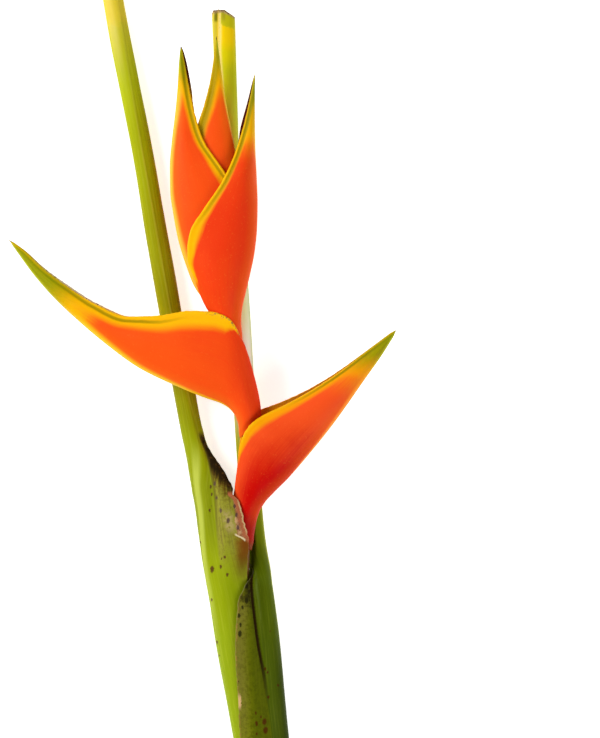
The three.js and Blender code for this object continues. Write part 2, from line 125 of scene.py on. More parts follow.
# Bracts, from tip to base: keel x, keel y, lip x, lip y, height of the middle, half width,
# half gap between the lips, how far the far lip stands out past the near one.
BRACTS = {
    "bract_1": [
        [115.8, 40.8, 115.2, 42.2, 24, 0.9, 0.25, 0], [106.8, 26.4, 96.6, 27.6, 24, 3.4, 1, 0.6],
        [96.6, 12, 78, 13.8, 24, 5.8, 2, 1.4], [87, -1.8, 61.8, 3.6, 24, 8, 3.2, 2.4],
        [77.4, -15, 48.6, -3.6, 24, 9.6, 4.4, 3.6], [68.4, -26.4, 37.8, -8.7, 24, 10.7, 5.8, 4.2],
        [59.4, -37.2, 30, -14.1, 23.6, 11.9, 8.8, 3.4], [51, -46.8, 24.9, -21.6, 23, 11.6, 9, 1.8],
        [43.2, -54.6, 22.5, -30, 22.3, 10.2, 6.6, 0.8], [37.2, -61.2, 21, -42, 21.3, 9.2, 4.2, 0],
        [33.8, -67.2, 19.2, -55.2, 20.1, 8, 2.4, 0], [31.8, -74.4, 17.6, -67.2, 19.2, 7.2, 1.2, 0],
        [30.6, -82.8, 16.8, -78, 18.7, 6.8, 0.9, 0], [30.4, -90, 16.2, -87.6, 18.2, 6.8, 0.8, 0],
    ],
    "bract_2": [
        [-115.4, 95, -115.8, 96.2, 22, 0.9, 0.25, 0],
        [-109.7, 87, -106.2, 88.8, 22.3, 1.8, 0.5, 0.3],
        [-100.8, 74.9, -96, 78.9, 22.8, 3, 0.9, 0.5], [-88.8, 61.2, -81, 67.5, 23.2, 4.6, 1.5, 0.8],
        [-73.8, 47.1, -63, 56.4, 23.6, 6.4, 2.3, 0.8], [-57, 33, -43.8, 49.2, 23.9, 8.2, 3.2, 0.5],
        [-37.8, 19.2, -25.8, 49.8, 24.2, 9.9, 4.2, 0.2], [-16.2, 8.7, -7.8, 52.5, 24.4, 11, 5.4, 0],
        [1.2, 1.5, 5.4, 51.9, 24.5, 11.4, 7.2, 0], [11.4, -2.1, 16.2, 47.7, 24.5, 11.4, 8.7, 0],
        [16.8, -5.7, 24, 34.8, 24.4, 10.4, 6.4, 0], [20.1, -10.8, 30, 16.8, 24.1, 9, 2.6, 0],
        [21.6, -16.8, 33.9, 0, 23.6, 7.8, 1, 0], [21.4, -23.6, 35.3, -10.8, 23.2, 7, 0.8, 0],
    ],
    "bract_3": [
        [31.6, 193.5, 31.3, 195, 27, 0.9, 0.25, 0], [31.4, 180, 28.6, 179.4, 27, 1.8, 0.5, 1],
        [31.4, 166.8, 25.4, 164.4, 26.7, 3.3, 1, 2], [31.6, 151.2, 20.3, 147, 26.1, 7.4, 5.2, 0],
        [32.4, 134.4, 12.8, 129.8, 25.5, 11.7, 9.7, 0], [33, 117.6, 2.2, 113.8, 25.4, 12, 9.6, 0],
        [32.7, 103.2, -6, 100.4, 25.3, 12.3, 9.2, 0], [31.2, 88.2, -7.8, 90.2, 25.2, 12.7, 8.4, 0],
        [28.8, 76.2, -7.8, 82.8, 25.1, 12.5, 7.4, 0], [26.1, 64.8, -3.6, 71.4, 25, 11.6, 6.6, 0],
        [24, 55.8, 0, 61.2, 25, 9.4, 5.2, 0], [23.2, 48, 4.2, 52.8, 24.9, 7.7, 3.6, 0],
        [23.6, 41.4, 9.3, 46.2, 24.8, 6.8, 2, 0], [25.2, 33.6, 11.4, 38.4, 24.7, 6.4, 0.9, 0],
    ],
    "bract_4": [
        [-13.2, 210.9, -12.8, 212.2, 24, 0.9, 0.25, 0],
        [-14.1, 200.4, -10.5, 199.2, 24.2, 1.8, 0.5, 1.4],
        [-14.9, 186, -8.4, 186, 24.4, 3.1, 0.9, 1.2], [-16.3, 171, -5.2, 171, 24.6, 4.8, 2.4, 0],
        [-18.2, 154.8, 0, 154.8, 24.8, 7, 4.9, 0], [-19.4, 139.2, 9.4, 140.4, 25, 8, 6.4, 0],
        [-19.2, 124.8, 18.2, 127.2, 25.1, 8.5, 6.6, 0],
        [-17.1, 109.2, 23.4, 112.8, 25.2, 8.5, 5.6, 0], [-14.4, 95.4, 25.2, 98.4, 25.2, 8.3, 4.2, 0],
        [-9.6, 79.8, 23.4, 82.8, 25.2, 7.8, 3, 0], [-4.8, 67.8, 20.6, 68.4, 25.2, 7, 2, 0],
        [1.2, 59.4, 19.6, 59.4, 25.1, 6.2, 1.2, 0], [7.2, 53.4, 20, 52, 25.1, 5.8, 0.8, 0],
    ],
    "bract_5": [
        [8.7, 216.3, 8.2, 217.6, 22.5, 0.9, 0.25, 0], [10.2, 205.2, 6.9, 204, 22.9, 1.5, 0.5, 0],
        [11.7, 193.2, 5.1, 190.8, 23.3, 2.4, 0.7, 0], [13.8, 178.8, 1.8, 176.4, 23.8, 3.5, 1, 0],
        [17.1, 162, -2.7, 161.4, 24.3, 4.6, 1.4, 0], [19.8, 146.4, -5.1, 145.2, 24.8, 5.4, 1.8, 0],
        [21, 130.8, -5.4, 128.4, 25.1, 5.7, 2, 0], [20.7, 115.2, -3, 112.8, 25.2, 5.6, 1.8, 0],
        [18.9, 99.6, 1.5, 98.4, 25.3, 5, 1.4, 0], [16.5, 86.4, 5.4, 85.2, 25.3, 4.4, 1, 0],
        [15.6, 75.6, 7.3, 75, 25.3, 4.4, 0.8, 0],
    ],
}

BRACT_WALL = 2.0                 # fleshy side of a bract
KEEL_WALL = 2.6                  # fleshy fold along a bract's back
LIP_WALL = 1.3                   # thin margin of a bract
CLASP_WALL = 1.2                 # where a bract's base clasps the flower stalk
CLASP_SPANS = 4                  # outline spans over which a bract thins towards its base
WIDEST = 0.48                    # where a bract is fattest, from lip 0 to keel 1
WALL_SHARE = 0.5                 # most of the half width that a side's wall may take up
MARGIN_SHARE = 0.45              # the same for the margin, and for the keel out of the depth

# How a bract is coloured, from tip to base: mm from the tip, width of the yellow along the lip,
# width of the yellow along the keel, share of green, strength of the olive line beside the lip,
# its distance from the lip, share of the deeper red, share of the far lip that has dried.
PAINT_MARKS = ("band", "rib", "green", "line", "line_at", "flush", "dried")
BRACT_PAINT = {
    "bract_1": [
        [0, 5, 3, 1, 0.3, 1, 0, 0], [20, 5, 3, 0.8, 0.8, 1.2, 0, 0.2], [40, 5, 2.4, 0.2, 1, 1.4, 0, 0.5],
        [58, 5, 1.8, 0, 0.6, 1.5, 0.05, 0.6], [73, 5, 1.2, 0, 0.1, 1.2, 0.15, 0.5],
        [86, 5.5, 0.8, 0, 0, 1, 0.3, 0.2], [98, 5, 0.5, 0, 0, 1, 0.45, 0],
        [109, 3.4, 0.2, 0, 0, 1, 0.6, 0], [118, 1.4, 0, 0, 0, 1, 0.75, 0],
        [128, 0, 0, 0, 0, 1, 0.85, 0], [166, 0, 0, 0, 0, 1, 1, 0],
    ],
    "bract_2": [
        [0, 5, 4, 0.75, 0, 1, 0, 0], [10, 5, 4, 0.95, 0.2, 1, 0, 0], [33, 5, 3.8, 0.95, 0.5, 1, 0, 0.9],
        [45, 5, 3.6, 0.66, 0.8, 1.1, 0, 1], [55, 5, 3.2, 0.4, 0.9, 1.4, 0, 1],
        [66, 5.8, 2.8, 0.24, 0.95, 1.9, 0, 0.9], [76, 6.2, 2.6, 0, 1, 2.3, 0, 0.3],
        [86, 6.8, 2.4, 0, 1, 2.6, 0, 0], [96, 7.6, 2.2, 0, 1, 3, 0, 0],
        [105, 8.6, 2, 0, 0.8, 3.7, 0.1, 0], [115, 9.6, 1.8, 0, 0.45, 3.9, 0.15, 0],
        [125, 9.8, 1.5, 0, 0.1, 3.4, 0.25, 0], [141, 9.2, 1.2, 0, 0, 3, 0.35, 0],
        [151, 7.8, 0.8, 0, 0, 3, 0.45, 0], [157, 1.4, 0.6, 0, 0, 3, 0.5, 0],
        [162, 0, 0.4, 0, 0, 3, 0.55, 0], [196, 0, 0, 0, 0, 3, 0.5, 0],
    ],
    "bract_3": [
        [0, 5, 3, 0.7, 0.3, 1, 0, 0.6], [8, 5, 3, 0.95, 0.7, 1.2, 0, 1], [21, 4.4, 2.2, 0.52, 1, 1.5, 0, 1],
        [34, 3.8, 1.4, 0.42, 1, 1.7, 0.1, 1], [44, 3.4, 0.6, 0.14, 1, 1.9, 0.4, 0],
        [55, 3.6, 0.3, 0, 1, 2.1, 0.6, 0], [80, 4.8, 0.2, 0, 0.65, 2.4, 0.8, 0],
        [94, 6.4, 0.2, 0, 0, 2.4, 0.85, 0], [106, 4.6, 0.2, 0, 0, 2, 0.8, 0],
        [116, 2.4, 0.2, 0, 0, 2, 0.7, 0], [128, 1, 0, 0, 0, 2, 0.65, 0],
        [136, 0, 0, 0, 0, 2, 0.6, 0], [158, 0, 0, 0, 0, 2, 0.6, 0],
    ],
    "bract_4": [
        [0, 4, 3, 1, 0.3, 1, 0, 1], [7, 4, 3, 0.95, 0.7, 1.1, 0, 1], [19, 3.8, 3, 0.62, 1, 1.3, 0, 1],
        [31, 3.8, 2.8, 0.16, 1, 1.5, 0, 0.6], [42, 4, 2.5, 0, 1, 1.6, 0.1, 0],
        [52, 4.2, 2.1, 0, 1, 1.7, 0.35, 0], [66, 4.6, 1.9, 0, 1, 1.8, 0.35, 0],
        [80, 6, 1.7, 0, 0.9, 1.9, 0.3, 0],
        [94, 6.2, 1.9, 0, 0.5, 2, 0.25, 0], [118, 3, 2.6, 0, 0, 2, 0.1, 0],
        [135, 0, 3, 0, 0, 2, 0.1, 0], [150, 0, 2, 0, 0, 2, 0.3, 0], [162, 0, 0.6, 0, 0, 2, 0.6, 0],
    ],
    "bract_5": [
        [0, 4, 1.6, 1, 0.2, 1, 0, 0], [12, 4, 1.6, 0.72, 0.3, 1.3, 0, 0],
        [24, 5.4, 1.2, 0.5, 0.7, 1.7, 0, 0],
        [34, 6, 0.8, 0.16, 1, 2, 0.1, 0], [42, 6.2, 0.6, 0, 1, 2.2, 0.2, 0],
        [56, 5, 0.5, 0, 1, 2.3, 0.2, 0], [74, 4.6, 0.4, 0, 0.8, 2.3, 0.2, 0],
        [100, 3, 0.3, 0, 0.2, 2, 0.3, 0], [142, 0, 0, 0, 0, 1, 0.5, 0],
    ],
}

NO_SCAR = -50                    # a place off the bract, for a lip without a scar
# Each bract's keel edge and dried far lip as seen on a screen, 0 to 255, how dark its very tip is,
# where its lip is scarred (mm from the tip), how much redder it is towards the keel than towards
# the lip, and the width of the olive line beside the lip in mm.
BRACT_TRIM = {
    "bract_1": ((255, 150, 40), (196, 120, 40), 0.0, NO_SCAR, 1.5, 1.7),
    "bract_2": ((254, 196, 16), (246, 232, 200), 0.6, 150, -0.8, 1.7),
    "bract_3": ((252, 170, 60), (92, 30, 24), 0.0, NO_SCAR, 0.4, 2.1),
    "bract_4": ((254, 190, 60), (84, 26, 24), 1.0, 108, -1.0, 1.7),
    "bract_5": ((244, 190, 40), (140, 110, 30), 1.0, NO_SCAR, -0.8, 3.8),
}


# ---------------------------------------------------------------- curves through key rows

SAMPLES = 8                      # samples between two rows where a line's length is measured


def eased_slopes(places, values):
    """Slopes at the keys that never let a column overshoot."""
    secants = np.diff(values) / np.diff(places)
    slopes = [secants[0]]
    for before, after in zip(secants[:-1], secants[1:]):
        slopes.append(0.0 if before * after <= 0 else 2 * before * after / (before + after))
    slopes.append(secants[-1])
    return np.array(slopes)


def through_rows(rows, places=None):
    """A function that gives every column of the rows at one place between them."""
    table = np.array(rows, float)
    places = np.arange(len(table), dtype=float) if places is None else np.array(places, float)
    slopes = np.stack([eased_slopes(places, column) for column in table.T], 1)
    order = 1 if places[1] > places[0] else -1

    def at(place):
        span = np.searchsorted(places * order, place * order, side="right") - 1
        span = int(np.clip(span, 0, len(places) - 2))
        width = places[span + 1] - places[span]
        u = min(1.0, max(0.0, (place - places[span]) / width))
        end = u * u * (3 - 2 * u)
        return (table[span] * (1 - end) + table[span + 1] * end
                + slopes[span] * u * (1 - u) ** 2 * width
                + slopes[span + 1] * u * u * (u - 1) * width)

    return at


def through_keyed_rows(rows):
    """The same for rows that begin with their own place."""
    return through_rows([row[1:] for row in rows], [row[0] for row in rows])


def even_rings(middles, ring_step):
    """Even steps along a sampled middle line: each ring's run in mm and its place in the rows."""
    walked = np.concatenate([[0], np.cumsum(np.linalg.norm(np.diff(middles, axis=0), axis=1))])
    count = int(round(walked[-1] / ring_step))
    along = np.linspace(0, walked[-1], count + 1)
    return along, np.interp(along, walked, np.arange(len(middles)) / SAMPLES)


def smooth(value, low, high):
    """0 below low, 1 above high and an S between."""
    u = min(1.0, max(0.0, (value - low) / (high - low)))
    return u * u * (3 - 2 * u)


def hump(value, middle, width):
    """A rounded bump of height 1 round the middle."""
    return math.exp(-((value - middle) / width) ** 2)


def ripple(x, y, seed):
    """Smooth random value between about -1 and 1."""
    return noise.noise(Vector((x, y, seed)))


# ---------------------------------------------------------------- closed thin-walled meshes

EDGE_STEPS = 5                   # points round the edge from the outer sheet to the inner one


def blank_marks(names, rings, points):
    """An outer and an inner sheet of numbers for each name."""
    return {name: (np.zeros((rings, points)), np.zeros((rings, points))) for name in names}


def shell_mesh(name, outer, inner, marks):
    """A closed mesh from an outer and an inner sheet, with round edges and flat cut ends.

    outer and inner are (rings, points, 3) in mm. marks holds named (outer, inner) numbers.
    The cut ends take the second material."""
    rings, points = outer.shape[:2]

    def rounded(start, end, before):
        """Points of a half circle from one sheet's edge to the other's."""
        out = start - before
        out /= np.maximum(np.linalg.norm(out, axis=1, keepdims=True), 1e-6)
        middle, half = (start + end) / 2, (start - end) / 2
        reach = np.linalg.norm(half, axis=1, keepdims=True)
        turns = [math.pi * step / (EDGE_STEPS + 1) for step in range(1, EDGE_STEPS + 1)]
        return np.stack([middle + half * math.cos(t) + out * reach * math.sin(t) for t in turns], 1)

    far = rounded(outer[:, -1], inner[:, -1], outer[:, -2])
    near = rounded(inner[:, 0], outer[:, 0], inner[:, 1])
    loop = np.concatenate([outer, far, inner[:, ::-1], near], 1)
    ring = loop.shape[1]
    faces = []
    for s in range(rings - 1):
        base = s * ring
        for i in range(ring):
            j = (i + 1) % ring
            faces.append((base + i, base + ring + i, base + ring + j, base + j))
    side_faces = len(faces)
    for base, turned in ((0, False), ((rings - 1) * ring, True)):
        caps = []
        inner_last = points + EDGE_STEPS + points - 1
        for i in range(points - 1):
            caps.append((base + i, base + i + 1, base + inner_last - i - 1, base + inner_last - i))
        caps.append(tuple(base + i for i in range(points - 1, points + EDGE_STEPS + 1)))
        caps.append(tuple(base + i % ring for i in range(inner_last, ring + 1)))
        faces.extend(tuple(reversed(face)) if turned else face for face in caps)
    mesh = bpy.data.meshes.new(name)
    mesh.from_pydata((loop.reshape(-1, 3) * MM).tolist(), [], faces)
    mesh.validate()
    if signed_volume(loop.reshape(-1, 3), faces) < 0:
        mesh.flip_normals()
    steps = np.linspace(0, 1, EDGE_STEPS + 2)[1:-1]
    for mark, (outer_value, inner_value) in marks.items():
        far_value = outer_value[:, -1:] * (1 - steps) + inner_value[:, -1:] * steps
        near_value = inner_value[:, :1] * (1 - steps) + outer_value[:, :1] * steps
        value = np.concatenate([outer_value, far_value, inner_value[:, ::-1], near_value], 1)
        layer = mesh.attributes.new(mark, "FLOAT", "POINT")
        layer.data.foreach_set("value", value.reshape(-1).astype(np.float32))
    material_index = np.zeros(len(mesh.polygons), int)
    material_index[side_faces:] = 1
    mesh.polygons.foreach_set("material_index", material_index)
    smooth_faces = np.ones(len(mesh.polygons), bool)
    smooth_faces[side_faces:] = False
    mesh.polygons.foreach_set("use_smooth", smooth_faces)
    return mesh


def signed_volume(positions, faces):
    """Volume inside the faces, negative if they face in."""
    total = 0.0
    for face in faces:
        a = positions[face[0]]
        for b, c in zip(face[1:-1], face[2:]):
            total += np.dot(a, np.cross(positions[b], positions[c])) / 6
    return total


def place_piece(name, mesh, node, materials):
    """Puts a mesh in the scene in place of its CAD node."""
    piece = bpy.data.objects.new(name, mesh)
    bpy.context.collection.objects.link(piece)
    for material in materials:
        mesh.materials.append(material)
    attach(piece, "root")
    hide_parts(node)


# ---------------------------------------------------------------- bracts

LIP_GROOVE_DEPTH = 0.4           # mm, the shallow channel that the olive line runs in
LIP_GROOVE_REACH = 0.9           # mm, how wide that channel is to each side
GROOVE_START = (6, 20)           # mm from the tip, over which the channel deepens
LIP_FLARE = 0.5                  # mm, how far the lip turns out
LIP_FLARE_REACH = 1.4            # mm from the lip
SWELL = 0.22                     # mm, soft waves of the sides
SWELL_LENGTHS = (14, 9)          # mm, along the bract and away from the lip
RELIEF_START = (12, 45)          # mm from the tip, over which flare, waves and nicks grow
NICK = 0.3                       # mm, small unevenness of the lip
NICK_LENGTH = 2.6                # mm
INNER_SWELL = 0.6                # share of the waves that the inner sheet follows
TIP_SHRINK = (0.25, 0.6, 0.85)   # how much the first rings draw in to a point
BASE_FEATHER = 7.0               # mm, over which a bract's base thins out on the stalk
BASE_THINNING = 0.85             # share of the wall that is gone at the very base
KEEL_CURVE = (2.1, 1.15)         # how the half width closes from the widest place to the keel
LIP_CURVE = 1.7                  # how it narrows from there to the lip
FAR_LIP_CURVE = 3                # how fast the far lip's stand-out fades away from the lip
NICK_CURVE = 6                   # the same for the nicks


def bract_half_width(depth, half_width, lip_half):
    """Half width of a bract at one depth, from the lip at 0 to the keel at 1."""
    if depth > WIDEST:
        past = (depth - WIDEST) / (1 - WIDEST)
        return half_width * math.sqrt(max(0.0, 1 - past ** KEEL_CURVE[0])) ** KEEL_CURVE[1]
    before = (WIDEST - depth) / WIDEST
    return half_width - (half_width - lip_half) * before ** LIP_CURVE


def bract_sheets(name, ring_step, side_steps, seed):
    """Outer and inner sheet of a bract in mm, and the marks that its skin is painted by."""
    rows = BRACTS[name]
    painted = np.array(BRACT_PAINT[name], float)
    at = through_rows(rows)
    last = len(rows) - 1
    sampled = [at(sample / SAMPLES) for sample in range(last * SAMPLES + 1)]
    along, places = even_rings(np.array([(row[0:2] + row[2:4]) / 2 for row in sampled]), ring_step)
    outer = np.zeros((len(along), 2 * side_steps + 1, 3))
    inner = np.zeros_like(outer)
    names = ("lip", "keel", "tip", "base", "inside", "far", "across") + PAINT_MARKS
    marks = blank_marks(names, *outer.shape[:2])
    for ring, (place, run) in enumerate(zip(places, along)):
        keel_x, keel_y, lip_x, lip_y, middle, half_width, gap, far_lip = at(place)
        paints = [np.interp(run, painted[:, 0], column) for column in painted.T[1:]]
        line_strength, line_at = paints[3], paints[4]
        clasp = smooth(place, last - CLASP_SPANS, last - 1)
        depth = math.hypot(keel_x - lip_x, keel_y - lip_y)
        side_wall = min(BRACT_WALL + (CLASP_WALL - BRACT_WALL) * clasp, half_width * WALL_SHARE)
        lip_wall = min(LIP_WALL, half_width * MARGIN_SHARE)
        keel_wall = min(KEEL_WALL + (CLASP_WALL - KEEL_WALL) * clasp, depth * MARGIN_SHARE)
        gap = min(gap, half_width - side_wall)
        relief = smooth(run, *RELIEF_START) * (1 - clasp)
        groove = LIP_GROOVE_DEPTH * line_strength * smooth(run, *GROOVE_START)
        shrink = TIP_SHRINK[ring] if ring < len(TIP_SHRINK) else 1.0
        base = along[-1] - run
        thin = BASE_THINNING * (1 - smooth(base, 0, BASE_FEATHER))
        for step in range(-side_steps, side_steps + 1):
            spread = abs(step) / side_steps
            v = (1 + math.cos(math.pi * spread)) / 2
            facing = 1 if step < 0 else -1
            stretch = far_lip / depth * (1 - v) ** FAR_LIP_CURVE if step > 0 else 0.0
            from_lip = v * depth
            waves = ripple(run / SWELL_LENGTHS[0], from_lip / SWELL_LENGTHS[1], seed + facing)
            swell = (LIP_FLARE * hump(from_lip, 0, LIP_FLARE_REACH) + SWELL * waves) * relief
            swell -= groove * hump(from_lip, line_at, LIP_GROOVE_REACH)
            nick = (NICK * ripple(run / NICK_LENGTH, facing * 5, seed)
                    * (1 - v) ** NICK_CURVE * relief / depth)
            out_half = bract_half_width(v, half_width, gap + lip_wall) + swell
            in_half = bract_half_width(v, half_width - side_wall, gap) + swell * INNER_SWELL
            if step == 0:
                out_half = in_half = 0.0
            column = step + side_steps
            for sheet, deep, half in (
                (outer, v - stretch + nick, out_half),
                (inner, v * (1 - keel_wall / depth) - stretch + nick, in_half),
            ):
                sheet[ring, column] = (
                    lip_x + (keel_x - lip_x) * deep,
                    lip_y + (keel_y - lip_y) * deep,
                    middle + facing * half,
                )
            far = 0.0 if facing > 0 else 1.0
            for index in (0, 1):
                values = (from_lip, depth - from_lip, run, base, index, far, v, *paints)
                for key, value in zip(names, values):
                    marks[key][index][ring, column] = value
        outer[ring] += (inner[ring] - outer[ring]) * thin
        centre = (outer[ring].mean(0) + inner[ring].mean(0)) / 2
        outer[ring] = centre + (outer[ring] - centre) * shrink
        inner[ring] = centre + (inner[ring] - centre) * shrink
    return outer, inner, marks


# ---------------------------------------------------------------- leaf stalks and sheaths

# The line along each leaf where its stalk meets the groove's margin, then the sheath's wing:
# y, x, depth of the valley there, half its width, step down past it.
SEAMS = {
    "left_leaf_stalk": [
        [264, -56.6, 0.1, 1, 0.5], [240, -51.6, 0.1, 1, 0.5], [191, -43.8, 0.1, 1, 0.5],
        [147, -36.3, 0.1, 1, 0.5], [105, -28.8, 0.1, 1, 0.5], [63, -21.3, 0.1, 1, 0.5],
        [12, -11, 0.2, 1, 0.5], [-14, -4, 0.5, 1.4, 0.3], [-24, -0.6, 1.4, 1.8, 0],
        [-33, 3, 2, 2, 0], [-45, 4.8, 2.3, 2.2, 0], [-57, 6.6, 2, 2.4, 0], [-72, 7.6, 1.3, 2.8, 0],
        [-87, 8.8, 0.7, 3.2, 0], [-108, 10.4, 0, 3.6, 0], [-264, 34, 0, 4, 0],
    ],
    "right_leaf_stalk": [
        [232.5, 10.9, 0.2, 1, 2.6], [212, 10.6, 0.2, 1, 2], [192, 11.9, 0.1, 1, 1.2],
        [144, 13.6, 0.1, 1, 0.7], [66, 19, 0.1, 1, 0.6], [-6, 23, 0.1, 1, 0.6],
        [-60, 26.8, 0.2, 1, 0.5], [-92, 28.6, 1, 1.1, 0.2], [-102.6, 29.2, 2.4, 1.1, 0],
        [-126.6, 31.6, 2.8, 1.1, 0], [-147, 34.2, 2.4, 1.1, 0], [-163.8, 37.2, 1.6, 1.2, 0],
        [-177.6, 39, 0.9, 1.4, 0], [-189, 40.4, 0.3, 1.6, 0], [-204, 42, 0, 2, 0],
        [-264, 49, 0, 2, 0],
    ],
}
# How ragged the leaf's front edge is: y, size of the tears in mm.
FRAY = {
    "left_leaf_stalk": [[-20, 0], [-30, 0.4], [-50, 0.9], [-62, 1], [-70, 1.5], [-82, 1.5], [-92, 0.8],
                        [-104, 0]],
    "right_leaf_stalk": [[-98, 0], [-112, 0.5], [-160, 0.4], [-200, 0.6], [-264, 0.2]],
}
NOTCH = (-56.5, 1.8, 2.2)        # y, half width and depth of the split in the left wing's edge
# How high the stalk's own part of the sheath stands below the wing: y, height.
STALK_TOPS = {
    "left_leaf_stalk": [[264, 10.8], [215, 11], [150, 11.8], [96, 12.2], [30, 12.4], [0, 13], [-24, 15],
                        [-42, 17.6], [-54, 19.6], [-66, 21.6], [-84, 23.8], [-102, 24.8], [-120, 24.6],
                        [-144, 22.9], [-180, 20.4], [-203, 19.8], [-264, 19.6]],
    "right_leaf_stalk": [[232.5, 10.4], [190, 10.6], [144, 11], [66, 11.2], [-6, 11.2], [-60, 11.8],
                         [-84, 13.8], [-94, 16], [-102.6, 18.4], [-111, 20.8], [-120, 22.4], [-144, 24],
                         [-180, 23.4], [-203, 22.4], [-264, 22.2]],
}
WING_BLEND = {"left_leaf_stalk": (-2, 5), "right_leaf_stalk": (-3.5, -1)}  # mm past the seam
# The shape of the stalk's cut end: x, how far it stands up there.
CUT_RIM = {
    "left_leaf_stalk": [[-70, 0], [-50, 0]],
    "right_leaf_stalk": [[3, -1], [5, 0.4], [8, 1.5], [12, 1.2], [15, -0.3], [19, -2.6]],
}


TEAR_LENGTH = 3.5                # mm, the larger tatters of a torn edge
THREAD_LENGTH = 1.1              # mm, the smaller ones
THREAD_SHARE = 0.8               # their depth against the larger ones'
TEAR_MIDDLE = 0.4                # how deep the edge is torn on the whole, against the same
EDGE_CROWDING = 0.06             # how much closer the steps lie at a sheath's edges
STEP_WIDTH = 1.3                 # mm, over which the surface steps down past the seam
STEP_REGAIN = 0.7                # share of that step that it gains back
STEP_REACH = (3, 6)              # mm past the seam, where it does
RIB_HEIGHT = 0.05                # mm, the fine ribs along a stalk
RIB_SPACING = 14                 # mm times degrees from crest to crest, over 2 pi
WAVE_HEIGHT = 0.1                # mm, slow waves between them
WAVE_SIZES = (30, 18)            # mm along the stalk, and degrees round it
THICK_REACH = 80                 # degrees from the back, over which the wall thins
THICK_CURVE = 1.2                # how fast it does
DEEPEST_WALL = 0.86              # most of the way to the groove that the wall may reach
CUT_ROUGHNESS = 0.5              # mm, unevenness of the cut end
CUT_LUMP = 14                    # degrees round the stalk, the size of that unevenness
CUT_REACH = 10                   # mm, over which the shape of the cut end fades


def leaf_sheets(name, ring_step, arc_steps, seed):
    """Outer and inner sheet of a leaf's stalk and sheath in mm, and its marks."""
    left_leaf = name.startswith("left")
    facing = 1 if left_leaf else -1
    at = through_keyed_rows(LEAVES[name])
    seam_at = through_keyed_rows(SEAMS[name])
    fray_at = through_keyed_rows(FRAY[name])
    top_at = through_keyed_rows(STALK_TOPS[name])
    rim_at = through_keyed_rows(CUT_RIM[name])
    upper_end, lower_end = LEAVES[name][0][0], LEAVES[name][-1][0]
    count = int(round((upper_end - lower_end) / ring_step))
    ys = np.linspace(upper_end, lower_end, count + 1)
    outer = np.zeros((count + 1, arc_steps + 1, 3))
    inner = np.zeros_like(outer)
    marks = blank_marks(("edge", "turn", "run", "inside", "seam", "cut"), *outer.shape[:2])
    for ring, y in enumerate(ys):
        left, right, low, high, front, back, wall, edge, groove, tilt = at(y)
        top = top_at(y)[0]
        middle_x, middle_z = (left + right) / 2, (low + high) / 2
        half_x, half_z = (right - left) / 2, (high - low) / 2
        groove_x = middle_x + facing * groove * half_x
        radius = (half_x + half_z) / 2
        fray = fray_at(y)[0]
        tatters = ripple(y / TEAR_LENGTH, 0, seed) + THREAD_SHARE * ripple(y / THREAD_LENGTH, 4, seed)
        torn = fray * max(0.0, TEAR_MIDDLE + tatters)
        if left_leaf:
            torn += NOTCH[2] * hump(y, NOTCH[0], NOTCH[1])
        front -= math.degrees(torn / radius)
        seam_x, valley, valley_width, drop = seam_at(y)
        swing = -facing * (seam_x - middle_x) / half_x
        seam_turn = math.degrees(math.acos(min(1.0, max(-1.0, swing))))
        for step in range(arc_steps + 1):
            u = step / arc_steps
            degrees = -back + (front + back) * (u - EDGE_CROWDING * math.sin(2 * math.pi * u))
            turn = math.radians(degrees)
            past = math.radians(degrees - seam_turn) * radius
            dip = valley * hump(past, 0, valley_width)
            dip += drop * smooth(past, 0, STEP_WIDTH) * (1 - STEP_REGAIN * smooth(past, *STEP_REACH))
            ribs = RIB_HEIGHT * math.cos(degrees * radius / RIB_SPACING)
            ribs += WAVE_HEIGHT * ripple(y / WAVE_SIZES[0], degrees / WAVE_SIZES[1], seed)
            draw = 1 - (dip - ribs) / radius
            sunk = (high - top) * (1 - smooth(past, *WING_BLEND[name]))
            x = middle_x - facing * half_x * math.cos(turn) * draw
            z = middle_z - sunk / 2 + (half_z - sunk / 2) * math.sin(turn) * draw
            near_back = math.cos(min(1.0, abs(degrees) / THICK_REACH) * math.pi / 2) ** THICK_CURVE
            away = math.hypot(groove_x - x, middle_z - z)
            share = min(DEEPEST_WALL, (edge + (wall - edge) * near_back) / away)
            inner_x = x + (groove_x - x) * share
            inner_z = z + (middle_z - z) * share
            rough = CUT_ROUGHNESS * ripple(degrees / CUT_LUMP, 7, seed) * hump(ring, 0, 1)
            rough += rim_at(x)[0] * max(0.0, 1 - (upper_end - y) / CUT_REACH)
            outer[ring, step] = (x, y + tilt * (x - middle_x) + rough, max(0.0, z))
            inner[ring, step] = (inner_x, y + tilt * (inner_x - middle_x) + rough, max(0.0, inner_z))
            values = {"edge": math.radians(front - degrees) * radius, "run": y, "seam": past,
                      "turn": turn * radius, "cut": upper_end - y}
            for index in (0, 1):
                marks["inside"][index][ring, step] = index
                for key, value in values.items():
                    marks[key][index][ring, step] = value
    return outer, inner, marks


# ---------------------------------------------------------------- flower stalk

STALK_FIT = 0.985                # the skin's radius as a share of the solid's
STALK_RIBS = 9
STALK_RIB_HEIGHT = 0.04          # mm
STALK_WAVE_HEIGHT = 0.08         # mm
STALK_WAVE_LENGTH = 18           # mm
HEADING_REACH = 0.4              # of the way to the next row, where the stalk's direction is read


